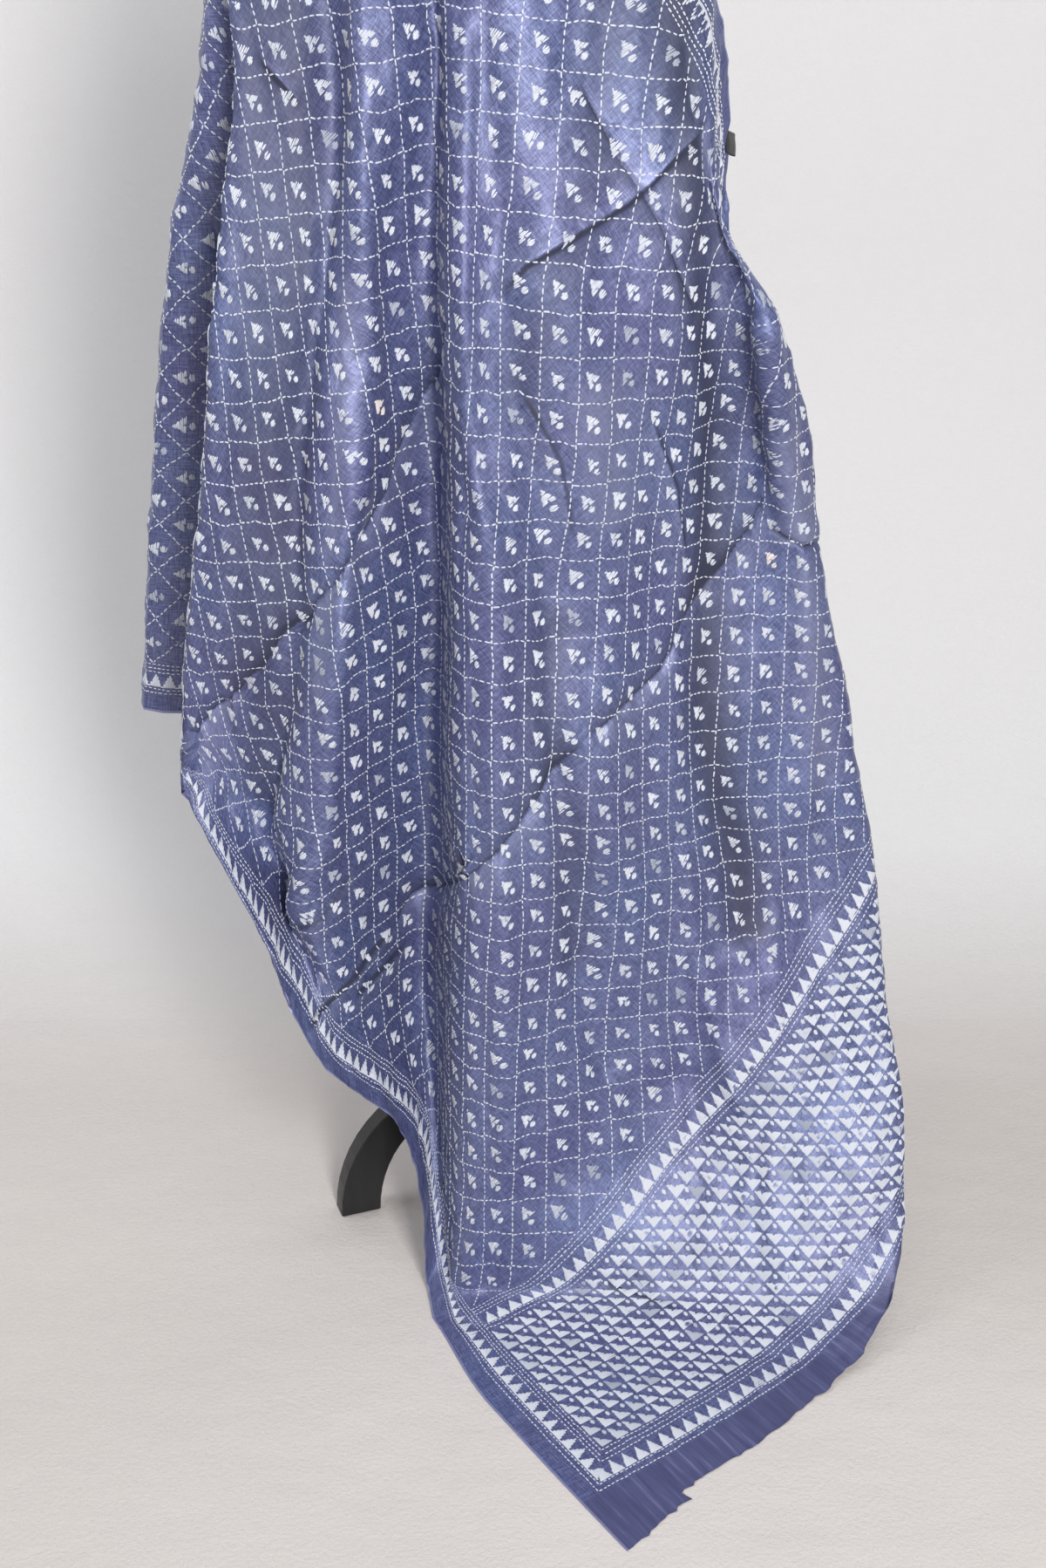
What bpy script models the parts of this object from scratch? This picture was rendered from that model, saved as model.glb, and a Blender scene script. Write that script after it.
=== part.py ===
"""A silk dupatta hung corner down on a plain black dress stand. Metres, +Z up, the front faces -Y.

The cloth is one rectangle. It comes off the shoulder cap on the bias: its lowest corner lies on the
floor in front, the right side is turned under, and the left side folds back under itself in one pleat,
goes round the stand and hangs straight behind it.
"""

import math

import bmesh
import bpy
import numpy as np
from mathutils import Vector

# The cloth, flat. s runs along the length from the lower end, t across it from the left selvedge.
CLOTH_LENGTH = 2.20
CLOTH_WIDTH = 1.00
CLOTH_THICK = 0.0015
CELL = 0.0338  # one square of the stitched lattice, which is laid at 45 degrees to the edges
CENTRE_Q = 0.190  # the middle column of the lattice, measured across the bias from the low corner
HANG = 0.285  # bias cloth height less its height above the floor, where it hangs plumb
ROOT2 = math.sqrt(2.0)

# The low corner on the floor and the way its two edges run from it.
CORNER_X = 0.083
CORNER_Y = -0.320
FLOOR_END = 0.24  # bias height up to which the cloth lies on the floor
FLOOR_Z = CLOTH_THICK / 2

# The label folded over the right selvedge.
LABEL_WIDE = 0.010
LABEL_LONG = 0.017
LABEL_THICK = 0.0012

# The stand.
POLE_X = 0.010
POLE_Y = 0.195
POLE_RADIUS = 0.013
POLE_TOP = 1.300
HUB_RADIUS = 0.030
HUB_LOW = 0.070
HUB_HIGH = 0.165
LEG_ANGLES = (200.0, 320.0, 80.0)
LEG_REACH = 0.205
LEG_THICK = 0.022
LEG_FOOT = 0.040
CAP_CENTRE = (-0.030, 0.190, 1.310)
CAP_HALF = (0.174, 0.091, 0.078)

# The middle of the whole object's footprint, moved to the origin.
MIDDLE_X = 0.00446
MIDDLE_Y = 0.03923

# Folds of the front, from the right-hand end round to the left pleat.
FRONT_FOLDS = ("end", "turn", "side", "side_ridge", "side_dip", "hollow",
               "ridge", "lip", "valley", "left_ridge", "bay", "pleat")

# Sections of the front. Each starts with the bias height, and then has one entry for each fold:
# cells right of the middle column, x, depth behind the front plane and, near the floor or on the
# shoulder cap, the height.
FRONT_SECTIONS = (
    (0.300, (13.2, 0.342, -0.023, 0.044), (12.9, 0.341, -0.032, 0.040), (12.4, 0.336, -0.045, 0.036),
     (11.0, 0.292, -0.045, 0.030), (9.0, 0.232, -0.040, 0.024), (6.4, 0.155, -0.030, 0.020),
     (0.8, -0.020, -0.014, 0.016), (-0.8, -0.060, -0.008, 0.015), (-2.0, -0.073, 0.010, 0.013),
     (-2.5, -0.080, 0.012, 0.012), (-2.9, -0.086, 0.008, 0.010), (-3.25, -0.090, 0.002, 0.008)),
    (0.355, (14.76, 0.338, 0.044, 0.088), (14.3, 0.345, 0.032, 0.085), (13.2, 0.350, -0.002, 0.078),
     (11.1, 0.292, -0.015, 0.072), (9.0, 0.232, -0.012, 0.068), (6.3, 0.153, -0.004, 0.066),
     (0.6, -0.022, -0.010, 0.068), (-1.0, -0.058, -0.004, 0.069), (-3.0, -0.078, 0.045, 0.070),
     (-3.8, -0.084, 0.043, 0.070), (-4.4, -0.089, 0.028, 0.070), (-4.9, -0.093, 0.010, 0.069)),
    (0.430, (16.98, 0.275, 0.120, 0.150), (15.6, 0.318, 0.105, 0.146), (13.3, 0.353, 0.032, 0.140),
     (11.2, 0.296, 0.022, 0.136), (9.0, 0.232, 0.028, 0.133), (6.2, 0.150, 0.042, 0.135),
     (0.6, -0.022, -0.006, 0.145), (-1.0, -0.055, 0.000, 0.146), (-4.2, -0.083, 0.085, 0.147),
     (-5.4, -0.094, 0.078, 0.146), (-6.3, -0.101, 0.054, 0.145), (-7.1, -0.106, 0.035, 0.144)),
    (0.566, (21.0, 0.130, 0.185), (19.5, 0.175, 0.192), (13.2, 0.339, 0.108),
     (11.0, 0.275, 0.085), (8.6, 0.205, 0.068), (5.6, 0.120, 0.072),
     (0.4, -0.024, -0.004), (-1.1, -0.054, 0.010), (-5.0, -0.094, 0.135),
     (-8.4, -0.154, 0.040), (-9.8, -0.172, 0.008), (-11.1, -0.184, -0.012)),
    (0.700, (24.97, 0.195, 0.255), (20.8, 0.070, 0.212), (13.4, 0.323, 0.142),
     (10.8, 0.253, 0.118), (8.2, 0.190, 0.100), (4.6, 0.095, 0.060),
     (-0.2, -0.034, 0.000), (-1.3, -0.053, 0.012), (-4.9, -0.086, 0.125),
     (-9.4, -0.186, 0.016), (-12.0, -0.214, 0.076), (-15.1, -0.239, -0.005)),
    (0.790, (24.1, 0.175, 0.245), (20.3, 0.055, 0.209), (12.8, 0.300, 0.140),
     (10.4, 0.238, 0.118), (8.2, 0.177, 0.093), (4.4, 0.088, 0.046),
     (-0.3, -0.035, 0.000), (-1.5, -0.054, 0.012), (-4.6, -0.082, 0.110),
     (-9.0, -0.178, 0.016), (-12.9, -0.243, 0.068), (-17.75, -0.293, 0.045)),
    (0.837, (22.7, 0.150, 0.238), (19.8, 0.052, 0.205), (12.4, 0.291, 0.138),
     (10.2, 0.233, 0.117), (8.3, 0.179, 0.098), (4.2, 0.083, 0.044),
     (-0.3, -0.035, 0.000), (-1.5, -0.054, 0.012), (-4.5, -0.080, 0.104),
     (-8.7, -0.170, 0.018), (-12.4, -0.243, 0.062), (-15.6, -0.291, 0.050)),
    (0.972, (18.7, 0.045, 0.170), (17.0, 0.095, 0.182), (11.4, 0.257, 0.122),
     (9.8, 0.219, 0.112), (8.4, 0.183, 0.108), (3.6, 0.074, 0.061),
     (-0.3, -0.036, 0.000), (-1.5, -0.053, 0.012), (-4.2, -0.073, 0.092),
     (-7.5, -0.146, 0.006), (-10.6, -0.206, 0.022), (-13.4, -0.273, 0.042)),
    (1.073, (15.7, 0.120, 0.165), (14.6, 0.155, 0.160), (11.2, 0.242, 0.110),
     (9.6, 0.210, 0.085), (8.4, 0.190, 0.105), (3.8, 0.084, 0.052),
     (-0.3, -0.028, 0.000), (-1.6, -0.051, 0.012), (-3.9, -0.073, 0.086),
     (-6.8, -0.140, 0.008), (-9.2, -0.186, 0.020), (-12.2, -0.254, 0.028)),
    (1.208, (11.7, 0.168, 0.092), (10.6, 0.182, 0.075), (9.4, 0.1965, 0.045),
     (8.4, 0.184, 0.030), (7.4, 0.170, 0.050), (4.6, 0.115, 0.032),
     (-0.2, -0.022, 0.000), (-2.0, -0.055, 0.004), (-3.5, -0.072, 0.055),
     (-6.0, -0.135, 0.017), (-8.0, -0.170, 0.018), (-11.1, -0.235, 0.012)),
    (1.290, (9.22, 0.158, 0.080), (8.4, 0.1525, 0.073), (7.3, 0.150, 0.062),
     (6.2, 0.1495, 0.038), (5.2, 0.140, 0.036), (3.4, 0.097, 0.030),
     (-0.3, -0.019, 0.010), (-2.0, -0.0545, 0.013), (-3.1, -0.067, 0.050),
     (-5.1, -0.116, 0.016), (-7.1, -0.156, 0.025), (-10.1, -0.223, 0.020)),
    (1.377, (6.7, 0.1575, 0.105), (6.3, 0.153, 0.098), (5.7, 0.149, 0.086),
     (4.8, 0.142, 0.056), (4.0, 0.126, 0.040), (2.4, 0.071, 0.033),
     (-0.4, -0.016, 0.020), (-2.0, -0.054, 0.024), (-2.8, -0.062, 0.045),
     (-4.2, -0.098, 0.015), (-6.2, -0.142, 0.033), (-9.05, -0.211, 0.030)),
    (1.475, (3.8, 0.129, 0.098), (3.6, 0.127, 0.085), (3.3, 0.1225, 0.072),
     (2.9, 0.111, 0.058), (2.3, 0.091, 0.046), (1.2, 0.047, 0.038),
     (-0.6, -0.016, 0.028), (-2.2, -0.066, 0.032), (-2.9, -0.081, 0.042),
     (-4.1, -0.110, 0.026), (-5.8, -0.150, 0.036), (-8.3, -0.214, 0.045)),
    (1.600, (0.12, 0.020, 0.078), (-0.15, 0.010, 0.066), (-0.5, -0.002, 0.057),
     (-0.9, -0.016, 0.051), (-1.3, -0.030, 0.048), (-1.8, -0.047, 0.045),
     (-2.4, -0.068, 0.043), (-3.0, -0.089, 0.044), (-3.6, -0.110, 0.048),
     (-4.3, -0.135, 0.052), (-5.2, -0.168, 0.062), (-6.2, -0.205, 0.085)),
    (1.664, (-1.78, -0.045, 0.105, 1.366), (-2.0, -0.052, 0.104, 1.367), (-2.3, -0.063, 0.103, 1.368),
     (-2.6, -0.073, 0.103, 1.368), (-2.9, -0.084, 0.103, 1.368), (-3.2, -0.095, 0.104, 1.368),
     (-3.5, -0.106, 0.106, 1.368), (-3.8, -0.117, 0.109, 1.367), (-4.1, -0.128, 0.112, 1.367),
     (-4.5, -0.142, 0.117, 1.366), (-4.85, -0.154, 0.123, 1.365), (-5.2, -0.165, 0.130, 1.364)),
    (1.740,) + ((-4.17, -0.125, 0.155, 1.388),) * 12,
)

# Cells of each fold along the line where the cloth leaves the floor.
FLOOR_CELLS = (11.42, 11.15, 10.5, 9.4, 8.1, 6.0, 0.9, -0.3, -0.8, -1.1, -1.3, -1.48)

# Folds behind the left pleat: the turned-back layer, then the back panel with its hanging pleats.
BACK_FOLDS = ("mid", "inner", "mid_back", "back_left", "corner",
              "b1", "b2", "b3", "b4", "b5", "b6", "far_end")

# Sections of the back. Each starts with t, the distance up from the hem, and then has x, depth and, on
# the shoulder cap, the height of each fold.
BACK_SECTIONS = (
    (0.00, (-0.200, 0.104), (-0.100, 0.155), (-0.200, 0.168), (-0.345, 0.176), (-0.325, 0.262),
     (-0.250, 0.325), (-0.180, 0.300), (-0.110, 0.345), (-0.040, 0.310), (0.030, 0.350),
     (0.100, 0.315), (0.165, 0.345)),
    (0.20, (-0.200, 0.085), (-0.115, 0.140), (-0.200, 0.150), (-0.320, 0.158), (-0.305, 0.245),
     (-0.235, 0.312), (-0.170, 0.275), (-0.110, 0.328), (-0.045, 0.285), (0.020, 0.332),
     (0.080, 0.290), (0.140, 0.325)),
    (0.45, (-0.195, 0.056), (-0.140, 0.102), (-0.200, 0.116), (-0.280, 0.120), (-0.270, 0.205),
     (-0.210, 0.282), (-0.160, 0.235), (-0.110, 0.298), (-0.055, 0.243), (0.000, 0.302),
     (0.050, 0.248), (0.110, 0.290)),
    (0.60, (-0.198, 0.050), (-0.180, 0.064), (-0.206, 0.078), (-0.2415, 0.088), (-0.240, 0.172),
     (-0.195, 0.265), (-0.155, 0.228), (-0.115, 0.290), (-0.065, 0.238), (-0.015, 0.295),
     (0.030, 0.243), (0.085, 0.285)),
    (0.71, (-0.220, 0.056), (-0.225, 0.067), (-0.229, 0.080), (-0.232, 0.100), (-0.227, 0.190),
     (-0.190, 0.280), (-0.150, 0.258), (-0.110, 0.305), (-0.060, 0.265), (-0.010, 0.310),
     (0.035, 0.268), (0.085, 0.300)),
    (0.84, (-0.216, 0.106), (-0.220, 0.121), (-0.223, 0.141), (-0.224, 0.170), (-0.208, 0.250),
     (-0.178, 0.302), (-0.140, 0.303), (-0.100, 0.325), (-0.050, 0.306), (0.000, 0.330),
     (0.045, 0.306), (0.090, 0.315)),
    (0.92, (-0.170, 0.140, 1.363), (-0.172, 0.151, 1.363), (-0.173, 0.166, 1.363),
     (-0.172, 0.186, 1.364), (-0.160, 0.225, 1.364), (-0.140, 0.255, 1.361), (-0.115, 0.264, 1.363),
     (-0.080, 0.273, 1.364), (-0.040, 0.274, 1.366), (0.000, 0.276, 1.364), (0.035, 0.272, 1.362),
     (0.070, 0.268, 1.360)),
    (1.00, (-0.126, 0.160, 1.389), (-0.127, 0.166, 1.389), (-0.127, 0.174, 1.389),
     (-0.125, 0.184, 1.390), (-0.115, 0.200, 1.392), (-0.100, 0.212, 1.394), (-0.080, 0.216, 1.396),
     (-0.055, 0.220, 1.399), (-0.025, 0.222, 1.400), (0.005, 0.222, 1.400), (0.030, 0.220, 1.399),
     (0.055, 0.218, 1.397)),
)
HEM_Z = 0.520
BACK_RISE = 0.944
TIP_P = 0.790  # bias height of the tip where the left selvedge turns behind
APEX_P = 1.740  # bias height where the front runs out at the right selvedge

# How far each part of the front has dropped, by cells from the middle column.
DROP_CELLS = (-9.0, -6.0, -3.0, 0.0, 3.0, 5.0, 8.0)
DROP = (-0.008, -0.002, 0.008, 0.000, -0.012, -0.015, -0.018)

# Mesh steps between folds and between rows.
FRONT_STEPS = (3, 5, 3, 2, 4, 4, 2, 3, 4, 3, 3)
BACK_STEPS = (2, 2, 2, 3, 2, 2, 2, 2, 2, 2, 2, 2)
FLOOR_ROWS = 5
LOW_ROWS = 14
HIGH_ROWS = 23


def slopes_of(at, values):
    """The slope of a smooth curve at each given value, which never overshoots them."""
    step = np.diff(at)
    rise = np.diff(values, axis=0) / step[:, None]
    slope = np.zeros_like(values)
    slope[0], slope[-1] = rise[0], rise[-1]
    before, after = step[:-1, None], step[1:, None]
    near = 2 * after + before
    far = after + 2 * before
    same = rise[:-1] * rise[1:] > 0
    low = np.where(same, rise[:-1], 1.0)
    high = np.where(same, rise[1:], 1.0)
    slope[1:-1] = np.where(same, (near + far) / (near / low + far / high), 0.0)
    return slope


def smooth_at(where, at, values, slope):
    """The smooth curve through the values, at one place."""
    i = int(np.clip(np.searchsorted(at, where) - 1, 0, len(at) - 2))
    step = at[i + 1] - at[i]
    f = (where - at[i]) / step
    a = (1 + 2 * f) * (1 - f) ** 2 * values[i] + f * (1 - f) ** 2 * step * slope[i]
    b = f * f * (3 - 2 * f) * values[i + 1] + f * f * (f - 1) * step * slope[i + 1]
    return a + b


def bend(value, start, end):
    """0 before start, 1 after end, smooth between."""
    f = min(max((value - start) / (end - start), 0.0), 1.0)
    return f * f * (3 - 2 * f)


def on_floor(s, t):
    """A point of the corner that lies on the floor. The lower end lifts off towards the right."""
    tuck = 0.020 * bend(s, 0.20, 0.36) * (1 - bend(t, 0.0, 0.05))
    lift = bend(t, 0.24, 0.36)
    x = CORNER_X - 0.575 * s + 0.08 * s * s + 0.80 * t - 0.07 * t * t + tuck
    y = CORNER_Y + 0.835 * s + 0.56 * t + 0.25 * t * t
    return x, y, FLOOR_Z + 0.016 * lift


def dropped(cells):
    return np.interp(cells, DROP_CELLS, DROP)


def floor_section():
    rows = []
    for cells in FLOOR_CELLS:
        q = CENTRE_Q - CELL * cells
        s, t = (FLOOR_END + q) / ROOT2, (FLOOR_END - q) / ROOT2
        rows.append((cells,) + on_floor(s, t))
    return rows


def front_table():
    """Bias heights, and for each the cells, x, y and z of every fold."""
    heights, table = [FLOOR_END], [floor_section()]
    for section in FRONT_SECTIONS:
        p = section[0]
        rows = []
        for fold in section[1:]:
            z = fold[3] if len(fold) > 3 else p - HANG + dropped(fold[0])
            rows.append((fold[0], fold[1], fold[2], z))
        heights.append(p)
        table.append(rows)
    return np.array(heights), np.array(table, float).reshape(len(heights), -1)


def back_table():
    heights, table = [], []
    for section in BACK_SECTIONS:
        t = section[0]
        rows = []
        for fold in section[1:]:
            z = fold[2] if len(fold) > 2 else HEM_Z + BACK_RISE * t
            rows.append((fold[0], fold[1], z))
        heights.append(t)
        table.append(rows)
    return np.array(heights), np.array(table, float).reshape(len(heights), -1)


def spline(points, steps):
    """A smooth line through the points, with the given number of equal steps between each two."""
    ends = np.vstack([2 * points[0] - points[1], points, 2 * points[-1] - points[-2]])
    gap = np.sqrt(np.linalg.norm(np.diff(ends, axis=0), axis=1)) + 1e-5
    knots = np.concatenate([[0.0], np.cumsum(gap)])
    line = [points[0]]
    for i, count in enumerate(steps):
        t0, t1, t2, t3 = knots[i:i + 4]
        p0, p1, p2, p3 = ends[i:i + 4]
        at = np.linspace(t1, t2, 41)[:, None]
        a1 = (t1 - at) / (t1 - t0) * p0 + (at - t0) / (t1 - t0) * p1
        a2 = (t2 - at) / (t2 - t1) * p1 + (at - t1) / (t2 - t1) * p2
        a3 = (t3 - at) / (t3 - t2) * p2 + (at - t2) / (t3 - t2) * p3
        b1 = (t2 - at) / (t2 - t0) * a1 + (at - t0) / (t2 - t0) * a2
        b2 = (t3 - at) / (t3 - t1) * a2 + (at - t1) / (t3 - t1) * a3
        c = (t2 - at) / (t2 - t1) * b1 + (at - t1) / (t2 - t1) * b2
        run = np.concatenate([[0.0], np.cumsum(np.linalg.norm(np.diff(c, axis=0), axis=1))])
        for want in np.linspace(0, run[-1], count + 1)[1:]:
            line.append(np.array([np.interp(want, run, c[:, axis]) for axis in range(3)]))
    return np.array(line)


def low_rows():
    """Rows from the low corner up to the tip, each as points from the right-hand end to the selvedge."""
    heights, table = front_table()
    slope = slopes_of(heights, table)
    at_end = table[0].reshape(-1, 4)
    rows = []
    for i in range(FLOOR_ROWS):
        p = FLOOR_END * i / FLOOR_ROWS
        points = []
        for cells in at_end[:, 0]:
            q = (CENTRE_Q - CELL * cells) * p / FLOOR_END
            points.append(on_floor((p + q) / ROOT2, (p - q) / ROOT2))
        rows.append(spline(np.array(points), FRONT_STEPS))
    for p in np.linspace(FLOOR_END, TIP_P, LOW_ROWS + 1)[:-1]:
        folds = smooth_at(p, heights, table, slope).reshape(-1, 4)
        rows.append(spline(folds[:, 1:], FRONT_STEPS))
    return rows


def high_rows():
    """Rows from the tip and the hem up to the shoulder cap, from the right-hand end to the far end."""
    heights, table = front_table()
    slope = slopes_of(heights, table)
    levels, back = back_table()
    back_slope = slopes_of(levels, back)
    rows = []
    for t in np.linspace(0.0, 1.0, HIGH_ROWS + 1):
        p = TIP_P + (APEX_P - TIP_P) * t
        front = smooth_at(p, heights, table, slope).reshape(-1, 4)[:, 1:]
        behind = smooth_at(t, levels, back, back_slope).reshape(-1, 3)
        rows.append(spline(np.vstack([front, behind]), FRONT_STEPS + BACK_STEPS))
    return rows


def paint(obj, name, colour, rough):
    material = bpy.data.materials.new(name)
    material.use_nodes = True
    shader = material.node_tree.nodes["Principled BSDF"]
    shader.inputs["Base Color"].default_value = (*colour, 1.0)
    shader.inputs["Roughness"].default_value = rough
    obj.data.materials.append(material)
    return obj


def new_object(name, bm, smooth=True):
    mesh = bpy.data.meshes.new(name)
    for face in bm.faces:
        face.smooth = smooth
    bm.to_mesh(mesh)
    bm.free()
    obj = bpy.data.objects.new(name, mesh)
    DUPATTA.objects.link(obj)
    obj.location = (-MIDDLE_X, -MIDDLE_Y, 0.0)
    return obj


def solidify(obj, thick, offset=0.0):
    shell = obj.modifiers.new("cloth thickness", "SOLIDIFY")
    shell.thickness = thick
    shell.offset = offset
    shell.use_even_offset = False
    return obj


def build_cloth():
    bm = bmesh.new()
    below = None
    for row in low_rows() + high_rows():
        line = [bm.verts.new((x, y, max(z, FLOOR_Z))) for x, y, z in row]
        if below:
            for i in range(len(below) - 1):
                bm.faces.new((below[i], line[i], line[i + 1], below[i + 1]))
        below = line
    bmesh.ops.remove_doubles(bm, verts=bm.verts, dist=0.0004)
    bmesh.ops.recalc_face_normals(bm, faces=bm.faces)
    cloth = new_object("cloth", bm)
    solidify(cloth, CLOTH_THICK)
    return paint(cloth, "silk", (0.115, 0.130, 0.340), 0.55)


def leg_outline():
    """One leg from the side: x out from the pole, z up. It arches over and comes down on its foot."""
    outer, inner = [], []
    for i in range(13):
        a = math.radians(90.0 * i / 12)
        outer.append((LEG_REACH - 0.115 + 0.115 * math.sin(a), 0.132 * math.cos(a)))
        inner.append((LEG_REACH - 0.115 + 0.075 * math.sin(a), 0.100 * math.cos(a)))
    start = HUB_RADIUS + 0.0003
    return [(start, 0.128)] + outer + inner[::-1] + [(start, 0.092)]


def build_leg(name, angle):
    bm = bmesh.new()
    outline = leg_outline()
    sides = []
    for across in (-LEG_THICK / 2, LEG_THICK / 2):
        sides.append([bm.verts.new((x, across, z)) for x, z in outline])
    bm.faces.new(sides[0][::-1])
    bm.faces.new(sides[1])
    count = len(outline)
    for i in range(count):
        j = (i + 1) % count
        bm.faces.new((sides[0][i], sides[0][j], sides[1][j], sides[1][i]))
    bmesh.ops.recalc_face_normals(bm, faces=bm.faces)
    leg = new_object(name, bm, smooth=False)
    leg.location = (POLE_X - MIDDLE_X, POLE_Y - MIDDLE_Y, 0.0)
    leg.rotation_euler = (0.0, 0.0, math.radians(angle))
    soft = leg.modifiers.new("worn edges", "BEVEL")
    soft.width = 0.0015
    soft.segments = 1
    soft.limit_method = "ANGLE"
    soft.angle_limit = math.radians(50)
    return paint(leg, name + "_wood", (0.012, 0.012, 0.013), 0.45)


def build_turned(name, profile, colour, segments=40):
    """A turned piece about the pole's axis, from rows of radius and height."""
    bm = bmesh.new()
    rings = []
    for radius, z in profile:
        ring = []
        for i in range(segments):
            a = 2 * math.pi * i / segments
            ring.append(bm.verts.new((POLE_X + radius * math.cos(a), POLE_Y + radius * math.sin(a), z)))
        rings.append(ring)
    for low, high in zip(rings, rings[1:]):
        for i in range(segments):
            j = (i + 1) % segments
            bm.faces.new((low[i], low[j], high[j], high[i]))
    bm.faces.new(rings[0][::-1])
    bm.faces.new(rings[-1])
    bmesh.ops.recalc_face_normals(bm, faces=bm.faces)
    return paint(new_object(name, bm), name + "_wood", colour, 0.45)


def build_cap():
    """The rounded shoulder cap, flat beneath."""
    bm = bmesh.new()
    bmesh.ops.create_uvsphere(bm, u_segments=40, v_segments=20, radius=1.0)
    bmesh.ops.scale(bm, vec=CAP_HALF, verts=bm.verts)
    bmesh.ops.translate(bm, vec=CAP_CENTRE, verts=bm.verts)
    low = CAP_CENTRE[2] - 0.0097
    cut = bmesh.ops.bisect_plane(bm, geom=bm.verts[:] + bm.edges[:] + bm.faces[:],
                                 plane_co=(0, 0, low), plane_no=(0, 0, -1), clear_outer=True)
    edges = [e for e in cut["geom_cut"] if isinstance(e, bmesh.types.BMEdge)]
    bmesh.ops.edgeloop_fill(bm, edges=edges)
    bmesh.ops.recalc_face_normals(bm, faces=bm.faces)
    return paint(new_object("shoulder_cap", bm), "black_wood", (0.012, 0.012, 0.013), 0.45)


def label_place():
    """Where the right selvedge carries the label: the edge point, the way down it, and outward."""
    heights, table = front_table()
    slope = slopes_of(heights, table)
    low, high = (smooth_at(p, heights, table, slope).reshape(-1, 4)[:2, 1:] for p in (1.322, 1.340))
    edge = (low[0] + high[0]) / 2
    down = low[0] - high[0]
    out = edge - (low[1] + high[1]) / 2
    down /= np.linalg.norm(down)
    out -= down * out.dot(down)
    return Vector(edge), Vector(down), Vector(out / np.linalg.norm(out))


def build_label():
    """A bare woven label, folded over the selvedge and hanging just clear of it."""
    edge, down, out = label_place()
    face = down.cross(out)
    centre = edge + out * (LABEL_WIDE / 2 + 0.0012)
    bm = bmesh.new()
    bmesh.ops.create_cube(bm, size=1.0)
    for vert in bm.verts:
        a, b, c = vert.co
        vert.co = centre + out * (a * LABEL_WIDE) + down * (b * LABEL_LONG) + face * (c * LABEL_THICK)
    bmesh.ops.recalc_face_normals(bm, faces=bm.faces)
    return paint(new_object("label", bm, smooth=False), "label_weave", (0.01, 0.01, 0.01), 0.7)


for stale in list(bpy.data.objects):
    bpy.data.objects.remove(stale)
DUPATTA = bpy.data.collections.new("kantha_dupatta_on_stand")
bpy.context.scene.collection.children.link(DUPATTA)

build_cloth()
build_label()
for number, turn in enumerate(LEG_ANGLES, 1):
    build_leg(f"leg_{number}", turn)
BLACK = (0.012, 0.012, 0.013)
build_turned("hub", ((0.022, HUB_LOW), (HUB_RADIUS, HUB_LOW + 0.010), (HUB_RADIUS, HUB_HIGH - 0.012),
                     (0.022, HUB_HIGH)), BLACK)
build_turned("pole", ((POLE_RADIUS, HUB_HIGH + 0.0003), (POLE_RADIUS, POLE_TOP)), BLACK)
build_cap()
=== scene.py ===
"""A silk dupatta with kantha stitching, hung corner down on a plain black dress stand."""

import math

import bmesh
import bpy
import numpy as np
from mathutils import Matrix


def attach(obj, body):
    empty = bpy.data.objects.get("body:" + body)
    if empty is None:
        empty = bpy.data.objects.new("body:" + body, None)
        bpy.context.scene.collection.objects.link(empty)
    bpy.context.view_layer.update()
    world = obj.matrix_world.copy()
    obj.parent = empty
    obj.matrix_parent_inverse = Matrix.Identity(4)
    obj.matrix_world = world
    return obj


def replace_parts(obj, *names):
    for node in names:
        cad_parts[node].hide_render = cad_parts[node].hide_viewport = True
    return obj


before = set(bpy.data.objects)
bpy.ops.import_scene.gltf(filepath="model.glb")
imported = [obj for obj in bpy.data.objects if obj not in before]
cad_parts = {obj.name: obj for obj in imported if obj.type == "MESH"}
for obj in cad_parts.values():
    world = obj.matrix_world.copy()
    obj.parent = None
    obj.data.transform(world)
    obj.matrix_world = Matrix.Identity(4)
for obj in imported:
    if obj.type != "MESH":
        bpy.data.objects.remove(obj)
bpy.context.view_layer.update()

# The cloth, flat. s runs along the length from the lower end, t across it from the left selvedge.
CLOTH_LENGTH = 2.20
CLOTH_WIDTH = 1.00
CLOTH_THICK = 0.0015
CELL = 0.0338  # one square of the stitched lattice, which is laid at 45 degrees to the edges
CENTRE_Q = 0.190  # the middle column of the lattice, measured across the bias from the low corner
HANG = 0.285  # bias cloth height less its height above the floor, where it hangs plumb
ROOT2 = math.sqrt(2.0)

# The low corner on the floor and the way its two edges run from it.
CORNER_X = 0.083
CORNER_Y = -0.320
FLOOR_END = 0.24  # bias height up to which the cloth lies on the floor
FLOOR_Z = CLOTH_THICK / 2

# The middle of the whole object's footprint, moved to the origin.
MIDDLE_X = 0.00446
MIDDLE_Y = 0.03923

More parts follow.
